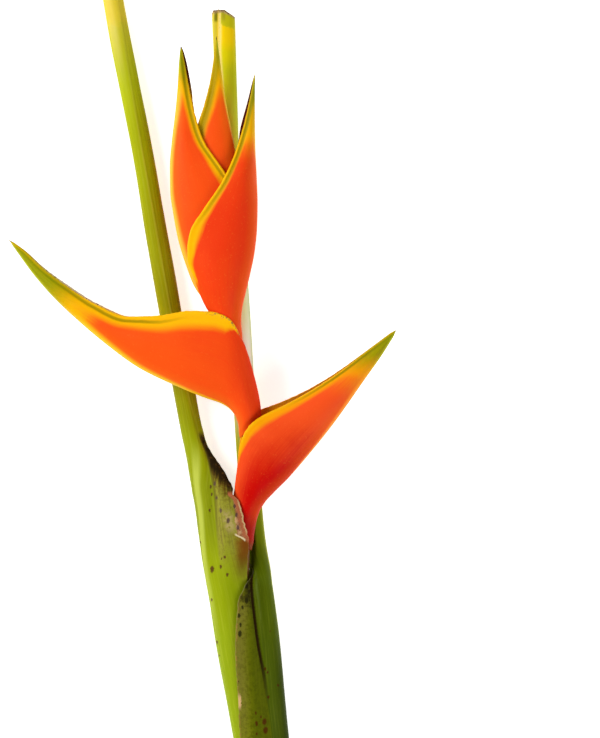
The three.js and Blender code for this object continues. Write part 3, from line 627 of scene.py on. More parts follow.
def stalk_mesh(name, rows, ring_step, sides, seed):
    """The round flower stalk as a closed mesh."""
    at = through_rows(rows)
    last = len(rows) - 1
    middles = np.array([at(sample / SAMPLES)[:3] for sample in range(last * SAMPLES + 1)])
    along, places = even_rings(middles, ring_step)
    count = len(along) - 1
    vertices = []
    for place, run in zip(places, along):
        x, y, z, radius = at(place)
        ahead, behind = min(last, place + HEADING_REACH), max(0.0, place - HEADING_REACH)
        heading = Vector(at(ahead)[:3] - at(behind)[:3]).normalized()
        across = Vector((heading.y, -heading.x, 0)).normalized()
        upward = across.cross(heading)
        for side in range(sides):
            turn = 2 * math.pi * side / sides
            reach = radius * STALK_FIT + STALK_RIB_HEIGHT * math.cos(STALK_RIBS * turn)
            reach += STALK_WAVE_HEIGHT * ripple(run / STALK_WAVE_LENGTH, side, seed)
            vertices.append(Vector((x, y, z)) + across * reach * math.cos(turn)
                            + upward * reach * math.sin(turn))
    faces = []
    for s in range(count):
        for i in range(sides):
            j = (i + 1) % sides
            faces.append((s * sides + i, s * sides + j, (s + 1) * sides + j, (s + 1) * sides + i))
    side_faces = len(faces)
    faces.append(tuple(reversed(range(sides))))
    faces.append(tuple(range(count * sides, (count + 1) * sides)))
    mesh = bpy.data.meshes.new(name)
    mesh.from_pydata([tuple(vertex * MM) for vertex in vertices], [], faces)
    if signed_volume(np.array([tuple(vertex) for vertex in vertices]), faces) < 0:
        mesh.flip_normals()
    for index, polygon in enumerate(mesh.polygons):
        polygon.use_smooth = index < side_faces
        polygon.material_index = 0 if index < side_faces else 1
    return mesh


# ---------------------------------------------------------------- shader writing

def paint(red, green, blue):
    """A colour as seen on a screen, 0 to 255, as the linear colour that shaders use."""
    def linear(level):
        level /= 255
        return level / 12.92 if level <= 0.04045 else ((level + 0.055) / 1.055) ** 2.4
    return (linear(red), linear(green), linear(blue), 1.0)


class Wire:
    """A shader socket that takes part in Python arithmetic."""

    def __init__(self, skin, socket):
        self.skin = skin
        self.socket = socket

    def __add__(self, other):
        return self.skin.math("ADD", self, other)

    def __radd__(self, other):
        return self.skin.math("ADD", other, self)

    def __sub__(self, other):
        return self.skin.math("SUBTRACT", self, other)

    def __rsub__(self, other):
        return self.skin.math("SUBTRACT", other, self)

    def __mul__(self, other):
        return self.skin.math("MULTIPLY", self, other)

    def __rmul__(self, other):
        return self.skin.math("MULTIPLY", other, self)


class Skin:
    """A node material while it is being written."""

    def __init__(self, name):
        self.material = bpy.data.materials.new(name)
        self.material.use_nodes = True
        self.tree = self.material.node_tree
        self.tree.nodes.clear()

    def node(self, kind, settings=None, inputs=None, output=0):
        """Makes one node, sets it up, then fills or links its sockets."""
        made = self.tree.nodes.new(kind)
        for key, value in (settings or {}).items():
            setattr(made, key, value)
        for key, value in (inputs or {}).items():
            if isinstance(value, Wire):
                self.tree.links.new(value.socket, made.inputs[key])
            else:
                made.inputs[key].default_value = value
        return Wire(self, made.outputs[output]) if made.outputs else None

    def math(self, operation, first, second=0.0):
        """One arithmetic step on numbers."""
        return self.node("ShaderNodeMath", {"operation": operation}, {0: first, 1: second})

    def mark(self, name):
        """A number that the mesh carries at each of its points."""
        return self.node("ShaderNodeAttribute", {"attribute_name": name}, output="Fac")

    def marks(self, *names):
        """Several such numbers, in the order of their names."""
        return [self.mark(name) for name in names]

    def rise(self, value, low, high):
        """0 below low, 1 above high, with an S between; low may be the larger."""
        return self.node("ShaderNodeMapRange", {"interpolation_type": "SMOOTHSTEP"},
                         {"Value": value, "From Min": low, "From Max": high})

    def vector(self, x, y, z):
        """Three numbers as one vector."""
        return self.node("ShaderNodeCombineXYZ", None, {0: x, 1: y, 2: z})

    def noise(self, where, scale, detail=2.0, roughness=0.5):
        """Soft random cloud, mostly between 0.3 and 0.7."""
        return self.node("ShaderNodeTexNoise", None, {
            "Vector": where, "Scale": scale, "Detail": detail, "Roughness": roughness})

    def blend(self, share, under, over, mode="MIX"):
        """Colour over laid on colour under, as far as share says."""
        return self.node("ShaderNodeMix", {"data_type": "RGBA", "blend_type": mode},
                         {0: share, 6: under, 7: over}, 2)

    def bands(self, value, stops):
        """A colour that goes from stop to stop, each a number and a colour, as value rises."""
        color = stops[0][1]
        for before, after in zip(stops[:-1], stops[1:]):
            color = self.blend(self.rise(value, before[0], after[0]), color, after[1])
        return color

    def place(self):
        """The object's own coordinates in metres."""
        return self.node("ShaderNodeTexCoord", output="Object")

    def finish(self, color, roughness, height, height_mm, glow, spread, specular=0.5):
        """Wires the surface: height is in units of height_mm, spread is light's reach in mm."""
        bump = self.node("ShaderNodeBump", None, {
            "Height": height, "Distance": height_mm * MM, "Strength": 1.0})
        surface = self.node("ShaderNodeBsdfPrincipled", {"subsurface_method": "RANDOM_WALK"}, {
            "Base Color": color, "Roughness": roughness, "Normal": bump,
            "Subsurface Weight": glow, "Subsurface Scale": MM, "Subsurface Radius": spread,
            "Specular IOR Level": specular})
        self.node("ShaderNodeOutputMaterial", None, {"Surface": surface})
        return self.material


# ---------------------------------------------------------------- finishes

def bract_skin(name, body, deep, lip_color, tip_color, trim):
    """Waxy bract: orange body, yellow lip with an olive line, green tip and yellow keel."""
    keel_color, dry_color, dark_tip, scar_at, lean, line_width = trim
    skin = Skin(name)
    lip, keel, tip, base = skin.marks("lip", "keel", "tip", "base")
    inside, far, across = skin.marks("inside", "far", "across")
    band, rib, green, flush = skin.marks("band", "rib", "green", "flush")
    threads = skin.vector(tip * 0.012, across * 26.0, far * 7.0)
    streak = skin.noise(threads, 1.6, 4.0, 0.62)
    fine = skin.noise(threads, 8.0, 2.0, 0.5)
    cloud = skin.noise(skin.vector(tip * 0.03, across * 1.4, far * 5.0), 1.3, 3.0, 0.55)
    wander = (streak - 0.5) * 2.4 + (cloud - 0.5) * 1.6
    speck = skin.noise(skin.place(), 900.0, 2.0, 0.6)

    redder = flush * (1 + (across - 0.5) * lean) + (cloud - 0.5) * 0.5 + (streak - 0.5) * 0.4
    color = skin.blend(skin.rise(redder, 0.05, 0.95), body, deep)
    color = skin.blend(skin.rise(keel, 8.0, 1.0) * 0.1, color, lip_color)
    yellow = skin.rise(lip + wander * 0.7, band * 1.3 + 0.3, band * 0.55) * skin.rise(band, 0.2, 1.4)
    color = skin.blend(yellow, color, lip_color)
    keel_band = skin.rise(keel + wander * 0.4, rib * 1.6 + 0.3, rib * 0.3)
    color = skin.blend(keel_band * skin.rise(rib, 0.0, 0.6), color, paint(*keel_color))
    leafy = green + ((streak - 0.5) * 0.45 + (cloud - 0.5) * 0.2) * skin.rise(green, 0.0, 0.2)
    color = skin.blend(skin.rise(leafy, 0.0, 0.4) * 0.9, color, lip_color)
    leaf_color = skin.blend(skin.rise(streak, 0.42, 0.6), paint(136, 142, 0), tip_color)
    color = skin.blend(skin.rise(leafy, 0.22, 0.95), color, leaf_color)
    rim = skin.rise(lip + (streak - 0.5) * 0.8, 1.5, 0.4) * skin.rise(band, 0.5, 3.0)
    color = skin.blend(rim * 0.5, color, paint(248, 194, 10))
    color = skin.blend(skin.rise(keel, 1.6, 0.5) * green * 0.6, color, paint(196, 200, 40))
    away = skin.math("ABSOLUTE", lip - skin.mark("line_at") + (streak - 0.5) * 0.5)
    line = skin.rise(away, line_width, line_width * 0.2) * skin.mark("line")
    color = skin.blend(line * 0.8, color, skin.blend(green, paint(150, 130, 0), paint(104, 118, 0)))
    dot = skin.rise(tip + (speck - 0.5) * 2.0, 2.6, 1.4) * dark_tip
    color = skin.blend(dot, color, paint(52, 22, 26))

    hollow = skin.blend(skin.rise(lip, 2.0, 16.0), color, paint(246, 150, 44))
    color = skin.blend(inside, color, hollow)
    dry = skin.rise(lip + (speck - 0.5) * 1.0, 1.9, 1.1) * skin.mark("dried") * far
    color = skin.blend(dry, color, skin.blend(skin.rise(speck, 0.6, 0.68), paint(*dry_color),
                                              paint(66, 30, 20)))
    scarred = skin.rise(skin.math("ABSOLUTE", tip - scar_at), 15.0, 7.0)
    scar = skin.rise(lip, 2.2, 0.3) * skin.rise(speck, 0.52, 0.6) * scarred
    color = skin.blend(scar * 0.8, color, skin.blend(cloud, paint(96, 44, 14), paint(170, 120, 90)))
    fleck = skin.rise(speck, 0.62, 0.7) * skin.rise(lip, 3.0, 6.0)
    color = skin.blend(fleck * 0.13, color, paint(255, 150, 60))
    shade = skin.blend(fine * 0.6 + streak * 0.4, paint(220, 220, 220), paint(255, 255, 255))
    color = skin.blend(0.45, color, shade, "MULTIPLY")
    worn = skin.rise(base + (streak - 0.5) * 3.0, 9.0, 2.0) * skin.rise(flush, 0.9, 0.98)
    # Painted shade: the base of the lowest bract, where it is reddest, darkens to deep red.
    color = skin.blend(skin.rise(base, 28.0, 12.0) * skin.rise(flush, 0.84, 0.92) * 0.8, color,
                       paint(150, 4, 6))
    color = skin.blend(worn * 0.85, color, paint(112, 58, 24))
    roughness = 0.46 + (streak - 0.5) * 0.14 + dry * 0.3
    return skin.finish(color, roughness, streak * 0.7 + fine * 0.3, 0.1, 0.06, (3.0, 1.0, 0.4), 0.05)


def flesh(name, rim, core):
    """The cut face of a stalk, with the open tubes that such stems have."""
    skin = Skin(name)
    place = skin.place()
    cells = skin.node("ShaderNodeTexVoronoi", {"feature": "DISTANCE_TO_EDGE"},
                      {"Vector": place, "Scale": 750.0})
    walls = skin.rise(cells, 0.16, 0.05)
    cloud = skin.noise(place, 220.0, 3.0)
    color = skin.blend(skin.rise(cloud, 0.35, 0.7), rim, core)
    color = skin.blend(walls * 0.5, color, rim)
    color = skin.blend((1 - walls) * 0.35, color, paint(96, 88, 40))
    return skin.finish(color, 0.6 + cloud * 0.2, walls, 0.4, 0.05, (2.0, 2.0, 1.0))


SPOT_STRETCH = 0.6               # a spot's width as a share of its length along the stem
SPOT_RAGGEDNESS = (1.2, 1.6)     # mm, from the fine and the coarse mottling


class LeafSkin(Skin):
    """What both leaves' skins share: fine ribs, the marks to paint by, and a colour to lay on."""

    def __init__(self, name, stops, pale_ribs):
        """stops are the colours along the leaf, pale_ribs the strength of its lighter streaks."""
        super().__init__(name)
        self.edge, self.turn, self.seam = self.marks("edge", "turn", "seam")
        self.run, self.inside = self.marks("run", "inside")
        threads = self.vector(self.run * 0.014, self.turn * 0.55, self.inside * 9.0)
        self.streak = self.noise(threads, 2.0, 4.0, 0.6)
        self.fine = self.noise(threads, 9.0, 2.0, 0.5)
        self.cloud = self.noise(self.vector(self.run * 0.03, self.turn * 0.09, 3.0), 1.2, 3.0, 0.6)
        self.mottle = self.noise(self.place(), 420.0, 4.0, 0.65)
        self.speck = self.noise(self.place(), 1300.0, 2.0, 0.6)
        self.tone = self.bands(self.run + (self.cloud - 0.5) * 14.0,
                               [(place, paint(*color)) for place, color in stops])
        self.lay(self.rise(self.streak, 0.45, 0.8) * pale_ribs, paint(206, 210, 70))

    def lay(self, share, color):
        """Lays a colour on what is there, as far as share says."""
        self.tone = self.blend(share, self.tone, color)

    def near(self, value, place, reach):
        """1 where value is at the place, falling to 0 at the reach on both sides."""
        return self.rise(self.math("ABSOLUTE", value - place), reach, reach * 0.25)

    def spots(self, spots, color):
        """Lays small spots that show on the side facing up: column, row, radius in mm."""
        flat = self.node("ShaderNodeVectorMath", {"operation": "MULTIPLY"},
                         {0: self.place(), 1: (1.0, SPOT_STRETCH, 0.0)})
        ragged = (self.speck - 0.5) * (SPOT_RAGGEDNESS[0] * MM)
        ragged += (self.mottle - 0.5) * (SPOT_RAGGEDNESS[1] * MM)
        for column, row, radius in spots:
            x, y = from_pixel(column, row)
            away = self.node("ShaderNodeVectorMath", {"operation": "DISTANCE"},
                             {0: flat, 1: (x * MM, y * MM * SPOT_STRETCH, 0.0)}, "Value")
            self.lay(self.rise(away + ragged, radius * MM * 1.2, radius * MM * 0.6) * 0.85, color)

    def done(self, dullness):
        """Adds the ribs' shade, then wires the surface."""
        shade = self.blend(self.fine * 0.5 + self.streak * 0.5, paint(222, 222, 222),
                           paint(255, 255, 255))
        color = self.blend(0.5, self.tone, shade, "MULTIPLY")
        height = self.streak * 0.6 + self.fine * 0.4 + self.mottle * dullness
        roughness = 0.4 + dullness * 0.4 + (self.streak - 0.5) * 0.1
        return self.finish(color, roughness, height, 0.12, 0.04, (1.5, 2.0, 0.6), 0.03)


# The leaves' main colours as seen on a screen, 0 to 255, by y from the sheath up.
LEFT_TONES = [
    (-250, (158, 178, 26)), (-150, (152, 171, 20)), (-110, (152, 167, 10)), (-70, (139, 150, 6)),
    (-30, (148, 158, 8)), (0, (138, 141, 4)), (66, (144, 141, 2)), (96, (152, 152, 2)),
    (150, (162, 168, 4)), (190, (174, 182, 14)), (228, (198, 188, 44)),
]
# Right leaf: the dark tones from y -100 down are partly painted shade, and the near-white tones round y 24
# to 60 are partly a painted highlight.
RIGHT_TONES = [
    (-264, (62, 76, 1)), (-150, (76, 92, 2)), (-100, (84, 100, 2)), (-70, (116, 130, 8)),
    (-30, (150, 160, 24)), (24, (252, 255, 236)), (60, (232, 242, 176)), (110, (208, 216, 100)),
    (170, (204, 210, 50)), (196, (200, 200, 22)), (208, (222, 208, 10)), (219, (248, 208, 8)),
]
# Spots on the stem: column and row in the photograph, radius in mm.
LEFT_SPOTS = [
    (212.6, 568.5, 1.3), (221.4, 565, 0.8), (228, 573, 0.8), (225.5, 555.6, 0.7), (222, 557, 0.4),
    (211, 487, 0.8), (212, 494, 0.5), (211.5, 505, 0.4), (210, 510, 0.6), (200.5, 542, 0.5),
    (212, 599, 0.6), (217, 642, 0.7), (219, 655, 0.4),
]
LEFT_BRUISES = [
    (221.5, 509, 0.9), (229, 519, 1.1), (235, 505, 0.8), (237, 513, 0.9), (238.5, 526, 0.9),
    (217, 497, 0.8), (215, 483, 0.9),
]
RIGHT_SPOTS = [
    (264.7, 720, 1.4), (256.9, 722, 1), (265.6, 728.7, 1.4), (256.9, 732, 0.7), (256, 711, 0.6),
    (261, 715, 0.5), (268.7, 696, 0.8), (265.4, 667.5, 0.7), (267.9, 671, 0.6), (270.4, 630.6, 0.4),
    (278, 684.7, 0.4), (264, 522.5, 0.5),
]
RIGHT_BLACK = [
    (247, 598.5, 1.2), (240.4, 632, 1.2), (241, 623, 0.8), (243, 605.6, 0.7), (239.7, 613.7, 0.9),
    (239, 680, 0.5), (254.4, 541.5, 0.5), (247, 584, 1),
]


def left_leaf_skin():
    """Left leaf: bright green, with a torn dry wing that is black-brown at its tip."""
    skin = LeafSkin("left_leaf_green", LEFT_TONES, 0.25)
    run, edge, seam = skin.run, skin.edge, skin.seam
    streak, cloud, mottle, speck = skin.streak, skin.cloud, skin.mottle, skin.speck
    # Painted highlight: a pale stripe beside the stalk's lit left edge near its top, and a second one along
    # the sheath lower down, both standing in for the soft light's reflection.
    pale = skin.near(skin.turn + (streak - 0.5) * 2.0, 6.0, 4.5)
    skin.lay(pale * skin.rise(run, 180.0, 262.0) * 0.55, paint(248, 228, 140))
    painted_sheath_highlight = skin.near(skin.turn + (streak - 0.5) * 2.0 - skin.rise(run, -110.0, -60.0) * 4.0, 6.0, 4.0)
    skin.lay(painted_sheath_highlight * skin.rise(run, -22.0, -48.0) * skin.rise(run, -170.0, -60.0) * 0.6,
             paint(212, 222, 96))
    shaded = skin.rise(seam, -1.2, 0.8) * skin.rise(run, -24.0, 10.0) * skin.rise(run, 220.0, 160.0)
    skin.lay(shaded * 0.25, paint(122, 110, 4))
    # Painted shade on the sheath's right side, which faces away from the light.
    skin.lay(skin.rise(skin.turn, 12.0, 22.0) * skin.rise(run, -90.0, -116.0) * 0.35, paint(92, 110, 2))
    skin.lay(skin.near(seam, 0.0, 0.9) * skin.rise(run, -30.0, 10.0) * skin.rise(run, 240.0, 200.0) * 0.3,
             paint(196, 196, 60))
    skin.lay(skin.rise(seam + (streak - 0.5) * 2.0, 3.0, 5.5) * skin.rise(run, -16.0, 20.0)
             * skin.rise(speck, 0.5, 0.66) * 0.35, paint(96, 66, 24))
    skin.lay(skin.rise(run + (mottle - 0.5) * 12.0, 222.0, 232.0) * 0.6, paint(232, 200, 56))

    wing = skin.rise(seam, -0.8, 1.4) * skin.rise(run, -18.0, -24.0)
    grey = wing * skin.rise(run + (cloud - 0.5) * 30.0, -112.0, -78.0)
    skin.lay(grey * 0.8, paint(150, 144, 50))
    skin.lay(grey * skin.rise(mottle, 0.46, 0.64) * 0.5, paint(112, 104, 22))
    skin.lay(grey * skin.rise(speck, 0.56, 0.68) * 0.45, paint(96, 82, 46))
    skin.lay(grey * skin.rise(streak, 0.5, 0.66) * 0.45, paint(104, 86, 36))
    line = skin.near(seam, 0.3, 1.3) * skin.rise(run, -18.0, -24.0)
    skin.lay(line * skin.rise(run, -96.0, -60.0) * 0.6, paint(96, 84, 30))
    rusty = skin.rise(edge + (streak - 0.5) * 6.0, 10.0, 3.0) * skin.rise(run, -76.0, -84.0)
    rusty = rusty * skin.rise(run + (cloud - 0.5) * 10.0, -112.0, -92.0)
    skin.lay(rusty * 0.95, skin.bands(run, [(-104.0, paint(102, 82, 2)), (-84.0, paint(124, 62, 4))]))
    burn = (mottle - 0.5) * 24.0 + (streak - 0.5) * 30.0
    scorched = wing * skin.rise(run - edge * 2.0 + burn, -76.0, -56.0)
    skin.lay(scorched * 0.85, skin.blend(mottle, paint(44, 32, 8), paint(112, 80, 18)))
    black = wing * skin.rise(run - edge * 2.3 + burn, -66.0, -52.0)
    skin.lay(black * 0.92, skin.blend(skin.rise(mottle, 0.5, 0.66), paint(24, 14, 8), paint(70, 48, 18)))
    light = skin.near(edge, 8.5, 4.0) * skin.near(run, -72.0, 9.0) * (1 - black)
    skin.lay(light * skin.rise(mottle, 0.34, 0.56) * 0.75, paint(192, 168, 108))
    ragged = edge + (mottle - 0.5) * 1.6 + skin.rise(run, -82.0, -54.0) * 3.4
    papery = skin.rise(ragged, 6.4, 5.4) * skin.rise(run, -53.5, -56.0)
    papery = papery * skin.rise(run - edge * 0.75, -85.5, -83.5)
    dry = skin.blend(skin.rise(mottle, 0.38, 0.6), paint(204, 164, 116), paint(150, 96, 60))
    skin.lay(papery, skin.blend(skin.rise(edge + (mottle - 0.5) * 4.0, 3.8, 2.0), dry, paint(180, 104, 66)))
    skin.lay(papery * skin.rise(speck, 0.6, 0.68) * 0.6, paint(84, 54, 60))
    rim = skin.rise(edge + (speck - 0.5) * 1.8, 1.0, 0.3) * skin.rise(run, -56.0, -62.0)
    skin.lay(rim * skin.rise(run, -82.0, -76.0) * 0.9, paint(216, 184, 130))
    tear = skin.math("ABSOLUTE", run - edge * 0.75 + 84.8 + (speck - 0.5) * 1.0)
    skin.lay(skin.rise(tear, 1.0, 0.4) * skin.rise(edge, 7.5, 6.0) * skin.rise(edge, 1.6, 2.6),
             paint(232, 212, 166))
    skin.spots(LEFT_SPOTS, paint(82, 16, 26))
    skin.spots(LEFT_BRUISES, paint(76, 50, 54))
    skin.lay(skin.inside * 0.6, paint(206, 204, 130))
    return skin.done(papery * 0.8 + scorched * 0.9 + grey * 0.35)


def right_leaf_skin():
    """Right leaf: its stalk ends in a dried cut, and its sheath has a stained flap."""
    skin = LeafSkin("right_leaf_green", RIGHT_TONES, 0.08)
    run, edge, seam, turn = skin.run, skin.edge, skin.seam, skin.turn
    streak, cloud, mottle, speck = skin.streak, skin.cloud, skin.mottle, skin.speck
    # Painted highlights along the stalk's right edge: a near-white glare in the middle and a lime rim of
    # light lower down.
    skin.lay(skin.rise(turn + (streak - 0.5) * 2.0, 6.0, 1.0) * skin.rise(run, -60.0, 30.0)
             * skin.rise(run, 120.0, 60.0) * 0.9, paint(240, 244, 220))
    skin.lay(skin.rise(turn, 4.5, 0.5) * skin.rise(run, -200.0, -80.0) * 0.7, paint(170, 176, 40))
    top = skin.rise(run + (cloud - 0.5) * 6.0, 150.0, 190.0)
    margin = skin.near(seam + (speck - 0.5) * 0.8, 1.6, 2.6) * skin.rise(run, -60.0, 60.0)
    skin.lay(margin * 0.85, skin.blend(top, paint(206, 212, 150), paint(242, 220, 130)))
    skin.lay(margin * skin.rise(speck, 0.56, 0.66) * top * 0.4, paint(196, 150, 70))
    groove = skin.rise(seam, 3.4, 4.4) * skin.rise(run, -60.0, 20.0)
    skin.lay(groove * 0.8, paint(206, 190, 60))
    ragged = run + (mottle - 0.5) * 3.0 - seam * 0.2
    olive = skin.rise(ragged, 224.6, 226.4) * skin.rise(seam, 1.6, 0.2)
    skin.lay(olive * 0.9, paint(194, 190, 20))
    skin.lay(skin.near(seam, 4.6, 1.3) * skin.rise(run, 226.5, 228.5) * 0.85, paint(110, 112, 10))
    skin.lay(olive * skin.near(seam, -1.0, 1.8) * skin.rise(run, 226.0, 230.0) * 0.5, paint(140, 120, 40))
    cut = skin.rise(skin.mark("cut") + (mottle - 0.5) * 3.0, 2.4, 1.0)
    skin.lay(cut * 0.85, skin.blend(skin.rise(mottle, 0.4, 0.6), paint(206, 170, 110), paint(120, 84, 70)))
    skin.lay(skin.rise(skin.mark("cut") + (speck - 0.5) * 2.4, 0.9, 0.1) * 0.7, paint(86, 58, 66))

    low = skin.rise(run, -96.0, -104.0)
    flap = low * skin.rise(seam, 0.0, 0.8)
    skin.lay(flap * 0.8, skin.bands(run, [(-230.0, paint(134, 140, 4)), (-150.0, paint(114, 116, 4))]))
    skin.lay(flap * skin.rise(mottle, 0.44, 0.62) * 0.55, paint(78, 76, 4))
    skin.lay(flap * skin.rise(streak, 0.52, 0.66) * 0.35, paint(132, 126, 30))
    grey = flap * skin.rise(edge + (mottle - 0.5) * 6.0, 7.0, 1.5) * skin.rise(run, -112.0, -124.0)
    skin.lay(grey * skin.rise(run, -240.0, -170.0) * 0.5, paint(126, 116, 50))
    skin.lay(flap * skin.rise(speck, 0.6, 0.7) * 0.5, paint(60, 50, 14))
    # Painted shade: the flap's right part and the lower stalk's right side darken, as on the side away from
    # the light.
    skin.lay(flap * skin.rise(edge, 3.0, 9.0) * 0.7, paint(70, 80, 2))
    skin.lay(skin.rise(turn, 15.0, 5.0) * skin.rise(run, -124.0, -170.0) * 0.7, paint(40, 52, 1))
    stain = flap * skin.rise(run + (mottle - 0.5) * 36.0, -128.0, -106.0)
    skin.lay(stain * 0.6, paint(66, 62, 4))
    skin.lay(stain * skin.rise(mottle, 0.42, 0.54) * 0.75, paint(30, 26, 8))
    dark = flap * skin.rise(seam + (mottle - 0.5) * 4.0, 6.0, 2.5)
    skin.lay(dark * skin.rise(run, -134.0, -112.0) * 0.7, paint(34, 26, 6))
    rim = low * skin.rise(edge + (speck - 0.5) * 0.6, 0.6, 0.2) * skin.rise(run, -110.0, -134.0)
    skin.lay(rim * skin.rise(mottle, 0.44, 0.58) * 0.5, paint(170, 130, 60))
    flake = low * skin.rise(edge + (speck - 0.5) * 1.8, 1.4, 0.8) * skin.near(run, -180.0, 6.0)
    skin.lay(flake, paint(214, 172, 120))
    # Painted shade: a dark line along the gap between the flap and the stalk.
    gap_shade = skin.rise(skin.math("ABSOLUTE", seam + (speck - 0.5) * 0.6), 1.3, 0.4) * low
    skin.lay(gap_shade * skin.rise(run, -192.0, -150.0) * 0.95, paint(40, 16, 2))
    skin.spots(RIGHT_SPOTS, paint(74, 28, 4))
    skin.spots(RIGHT_BLACK, paint(24, 20, 4))
    skin.lay(skin.inside * 0.6, paint(200, 200, 120))
    return skin.done(flap * 0.7 + gap_shade * 0.3)


def stalk_skin():
    """Fleshy red flower stalk, paler where the sheaths kept the light off it."""
    skin = Skin("flower_stalk_red")
    place = skin.place()
    streak = skin.noise(skin.node("ShaderNodeVectorMath", {"operation": "MULTIPLY"},
                                  {0: place, 1: (900.0, 30.0, 900.0)}), 1.0, 3.0)
    split = skin.node("ShaderNodeSeparateXYZ", None, {0: place}, 1)
    color = skin.blend(skin.rise(streak, 0.35, 0.7), paint(206, 26, 12), paint(226, 62, 26))
    color = skin.blend(skin.rise(split, -0.08, -0.092), color, paint(104, 66, 20))
    color = skin.blend(skin.rise(split, -0.11, -0.16), color, paint(200, 190, 110))
    return skin.finish(color, 0.4 + streak * 0.1, streak, 0.1, 0.08, (3.0, 1.0, 0.4), 0.3)


# ---------------------------------------------------------------- settings that a user changes

class HeliconiaBracts(bpy.types.PropertyGroup):
    """Colours and fineness of the bracts."""
    body: FloatVectorProperty(name="Body", description="Colour of a bract's sides", size=4,
                              subtype="COLOR", min=0, max=1, default=paint(252, 86, 18))
    deep: FloatVectorProperty(name="Flush", description="Redder colour near a bract's base",
                              size=4, subtype="COLOR", min=0, max=1, default=paint(240, 57, 16))
    lip: FloatVectorProperty(name="Lip", description="Colour of the band along a bract's lip",
                             size=4, subtype="COLOR", min=0, max=1, default=paint(254, 186, 2))
    tip: FloatVectorProperty(name="Tip", description="Colour of a bract's tip", size=4,
                             subtype="COLOR", min=0, max=1, default=paint(164, 160, 4))
    red_body: FloatVectorProperty(name="Lowest body", description="Colour of the lowest bract",
                                  size=4, subtype="COLOR", min=0, max=1,
                                  default=paint(250, 84, 30))
    red_deep: FloatVectorProperty(name="Lowest flush", description="Deep red of the lowest bract",
                                  size=4, subtype="COLOR", min=0, max=1,
                                  default=paint(206, 8, 2))
    red_lip: FloatVectorProperty(name="Lowest lip", description="Lip colour of the lowest bract",
                                 size=4, subtype="COLOR", min=0, max=1,
                                 default=paint(252, 164, 2))
    step: FloatProperty(name="Ring step", description="Distance between rings along a bract",
                        default=1.1 * MM, min=0.5 * MM, unit="LENGTH")
    sides: IntProperty(name="Side steps", description="Steps from a bract's lip to its keel",
                       default=26, min=6)


class HeliconiaStalks(bpy.types.PropertyGroup):
    """Fineness of the leaf stalks and the flower stalk."""
    step: FloatProperty(name="Ring step", description="Distance between rings along a stalk",
                        default=1.6 * MM, min=0.5 * MM, unit="LENGTH")
    arc: IntProperty(name="Arc steps", description="Steps round a leaf stalk or sheath",
                     default=64, min=11)
    sides: IntProperty(name="Sides", description="Sides round the flower stalk",
                       default=36, min=8)


class HeliconiaStage(bpy.types.PropertyGroup):
    """The surface, the light and the camera."""
    floor: FloatVectorProperty(name="Floor", description="Colour of the surface", size=4,
                               subtype="COLOR", min=0, max=1, default=paint(246, 246, 246))
    key: FloatProperty(name="Key light", description="Power of the large soft light, in watts",
                       default=17.0, min=0.0)
    glow: FloatProperty(name="Surface glow", description="Light that the surface itself gives off",
                        default=0.68, min=0.0)
    sky: FloatProperty(name="Surrounding light", description="Strength of the even light",
                       default=0.3, min=0.0)


# ---------------------------------------------------------------- operators

BRACT_SEED = 0.0
LEAF_SEED = 70.0
STALK_SEED = 90.0
SEED_STEP = 10.0                 # from one like piece to the next

# Each light: where it hangs in metres, its width in metres, its power as a share of the key's.
LIGHTS = {
    "key_light": ((-0.95, 0.45, 0.85), 0.9, 1.0),
    "fill_light": ((0.8, -0.6, 0.75), 0.8, 0.42),
}
FLOOR_HALF = 3.0                 # m, half the surface's width


class HELICONIA_OT_bract(bpy.types.Operator):
    """Builds one boat-shaped bract"""
    bl_idname = "heliconia.bract"
    bl_label = "Bract"
    node: StringProperty(name="Bract", description="Which bract to build", default="bract_1")

    def execute(self, context):
        look = context.scene.heliconia_bracts
        seed = BRACT_SEED + SEED_STEP * list(BRACTS).index(self.node)
        sheets = bract_sheets(self.node, look.step / MM, look.sides, seed)
        mesh = shell_mesh(self.node + "_skin", *sheets)
        red = self.node == "bract_1"
        colors = (look.red_body, look.red_deep, look.red_lip) if red else (look.body, look.deep, look.lip)
        body, deep, lip, tip = (tuple(color) for color in (*colors, look.tip))
        skin = bract_skin(self.node + "_finish", body, deep, lip, tip, BRACT_TRIM[self.node])
        place_piece(self.node + "_skin", mesh, self.node, [skin, skin])
        return {"FINISHED"}


class HELICONIA_OT_leaf_stalk(bpy.types.Operator):
    """Builds one leaf's bare stalk with the sheath that it grows from"""
    bl_idname = "heliconia.leaf_stalk"
    bl_label = "Leaf stalk"
    node: StringProperty(name="Leaf stalk", description="Which leaf stalk to build",
                         default="left_leaf_stalk")

    def execute(self, context):
        look = context.scene.heliconia_stalks
        seed = LEAF_SEED + SEED_STEP * list(LEAVES).index(self.node)
        sheets = leaf_sheets(self.node, look.step / MM, look.arc, seed)
        mesh = shell_mesh(self.node + "_skin", *sheets)
        left = self.node.startswith("left")
        skin = left_leaf_skin() if left else right_leaf_skin()
        cut = flesh(self.node + "_cut", paint(176, 160, 86), paint(216, 206, 140))
        place_piece(self.node + "_skin", mesh, self.node, [skin, cut])
        return {"FINISHED"}


class HELICONIA_OT_flower_stalk(bpy.types.Operator):
    """Builds the red stalk that carries the bracts"""
    bl_idname = "heliconia.flower_stalk"
    bl_label = "Flower stalk"

    def execute(self, context):
        look = context.scene.heliconia_stalks
        mesh = stalk_mesh("flower_stalk_skin", FLOWER_STALK, look.step / MM, look.sides, STALK_SEED)
        cut = flesh("flower_stalk_cut", paint(190, 176, 100), paint(226, 216, 160))
        place_piece("flower_stalk_skin", mesh, "flower_stalk", [stalk_skin(), cut])
        return {"FINISHED"}


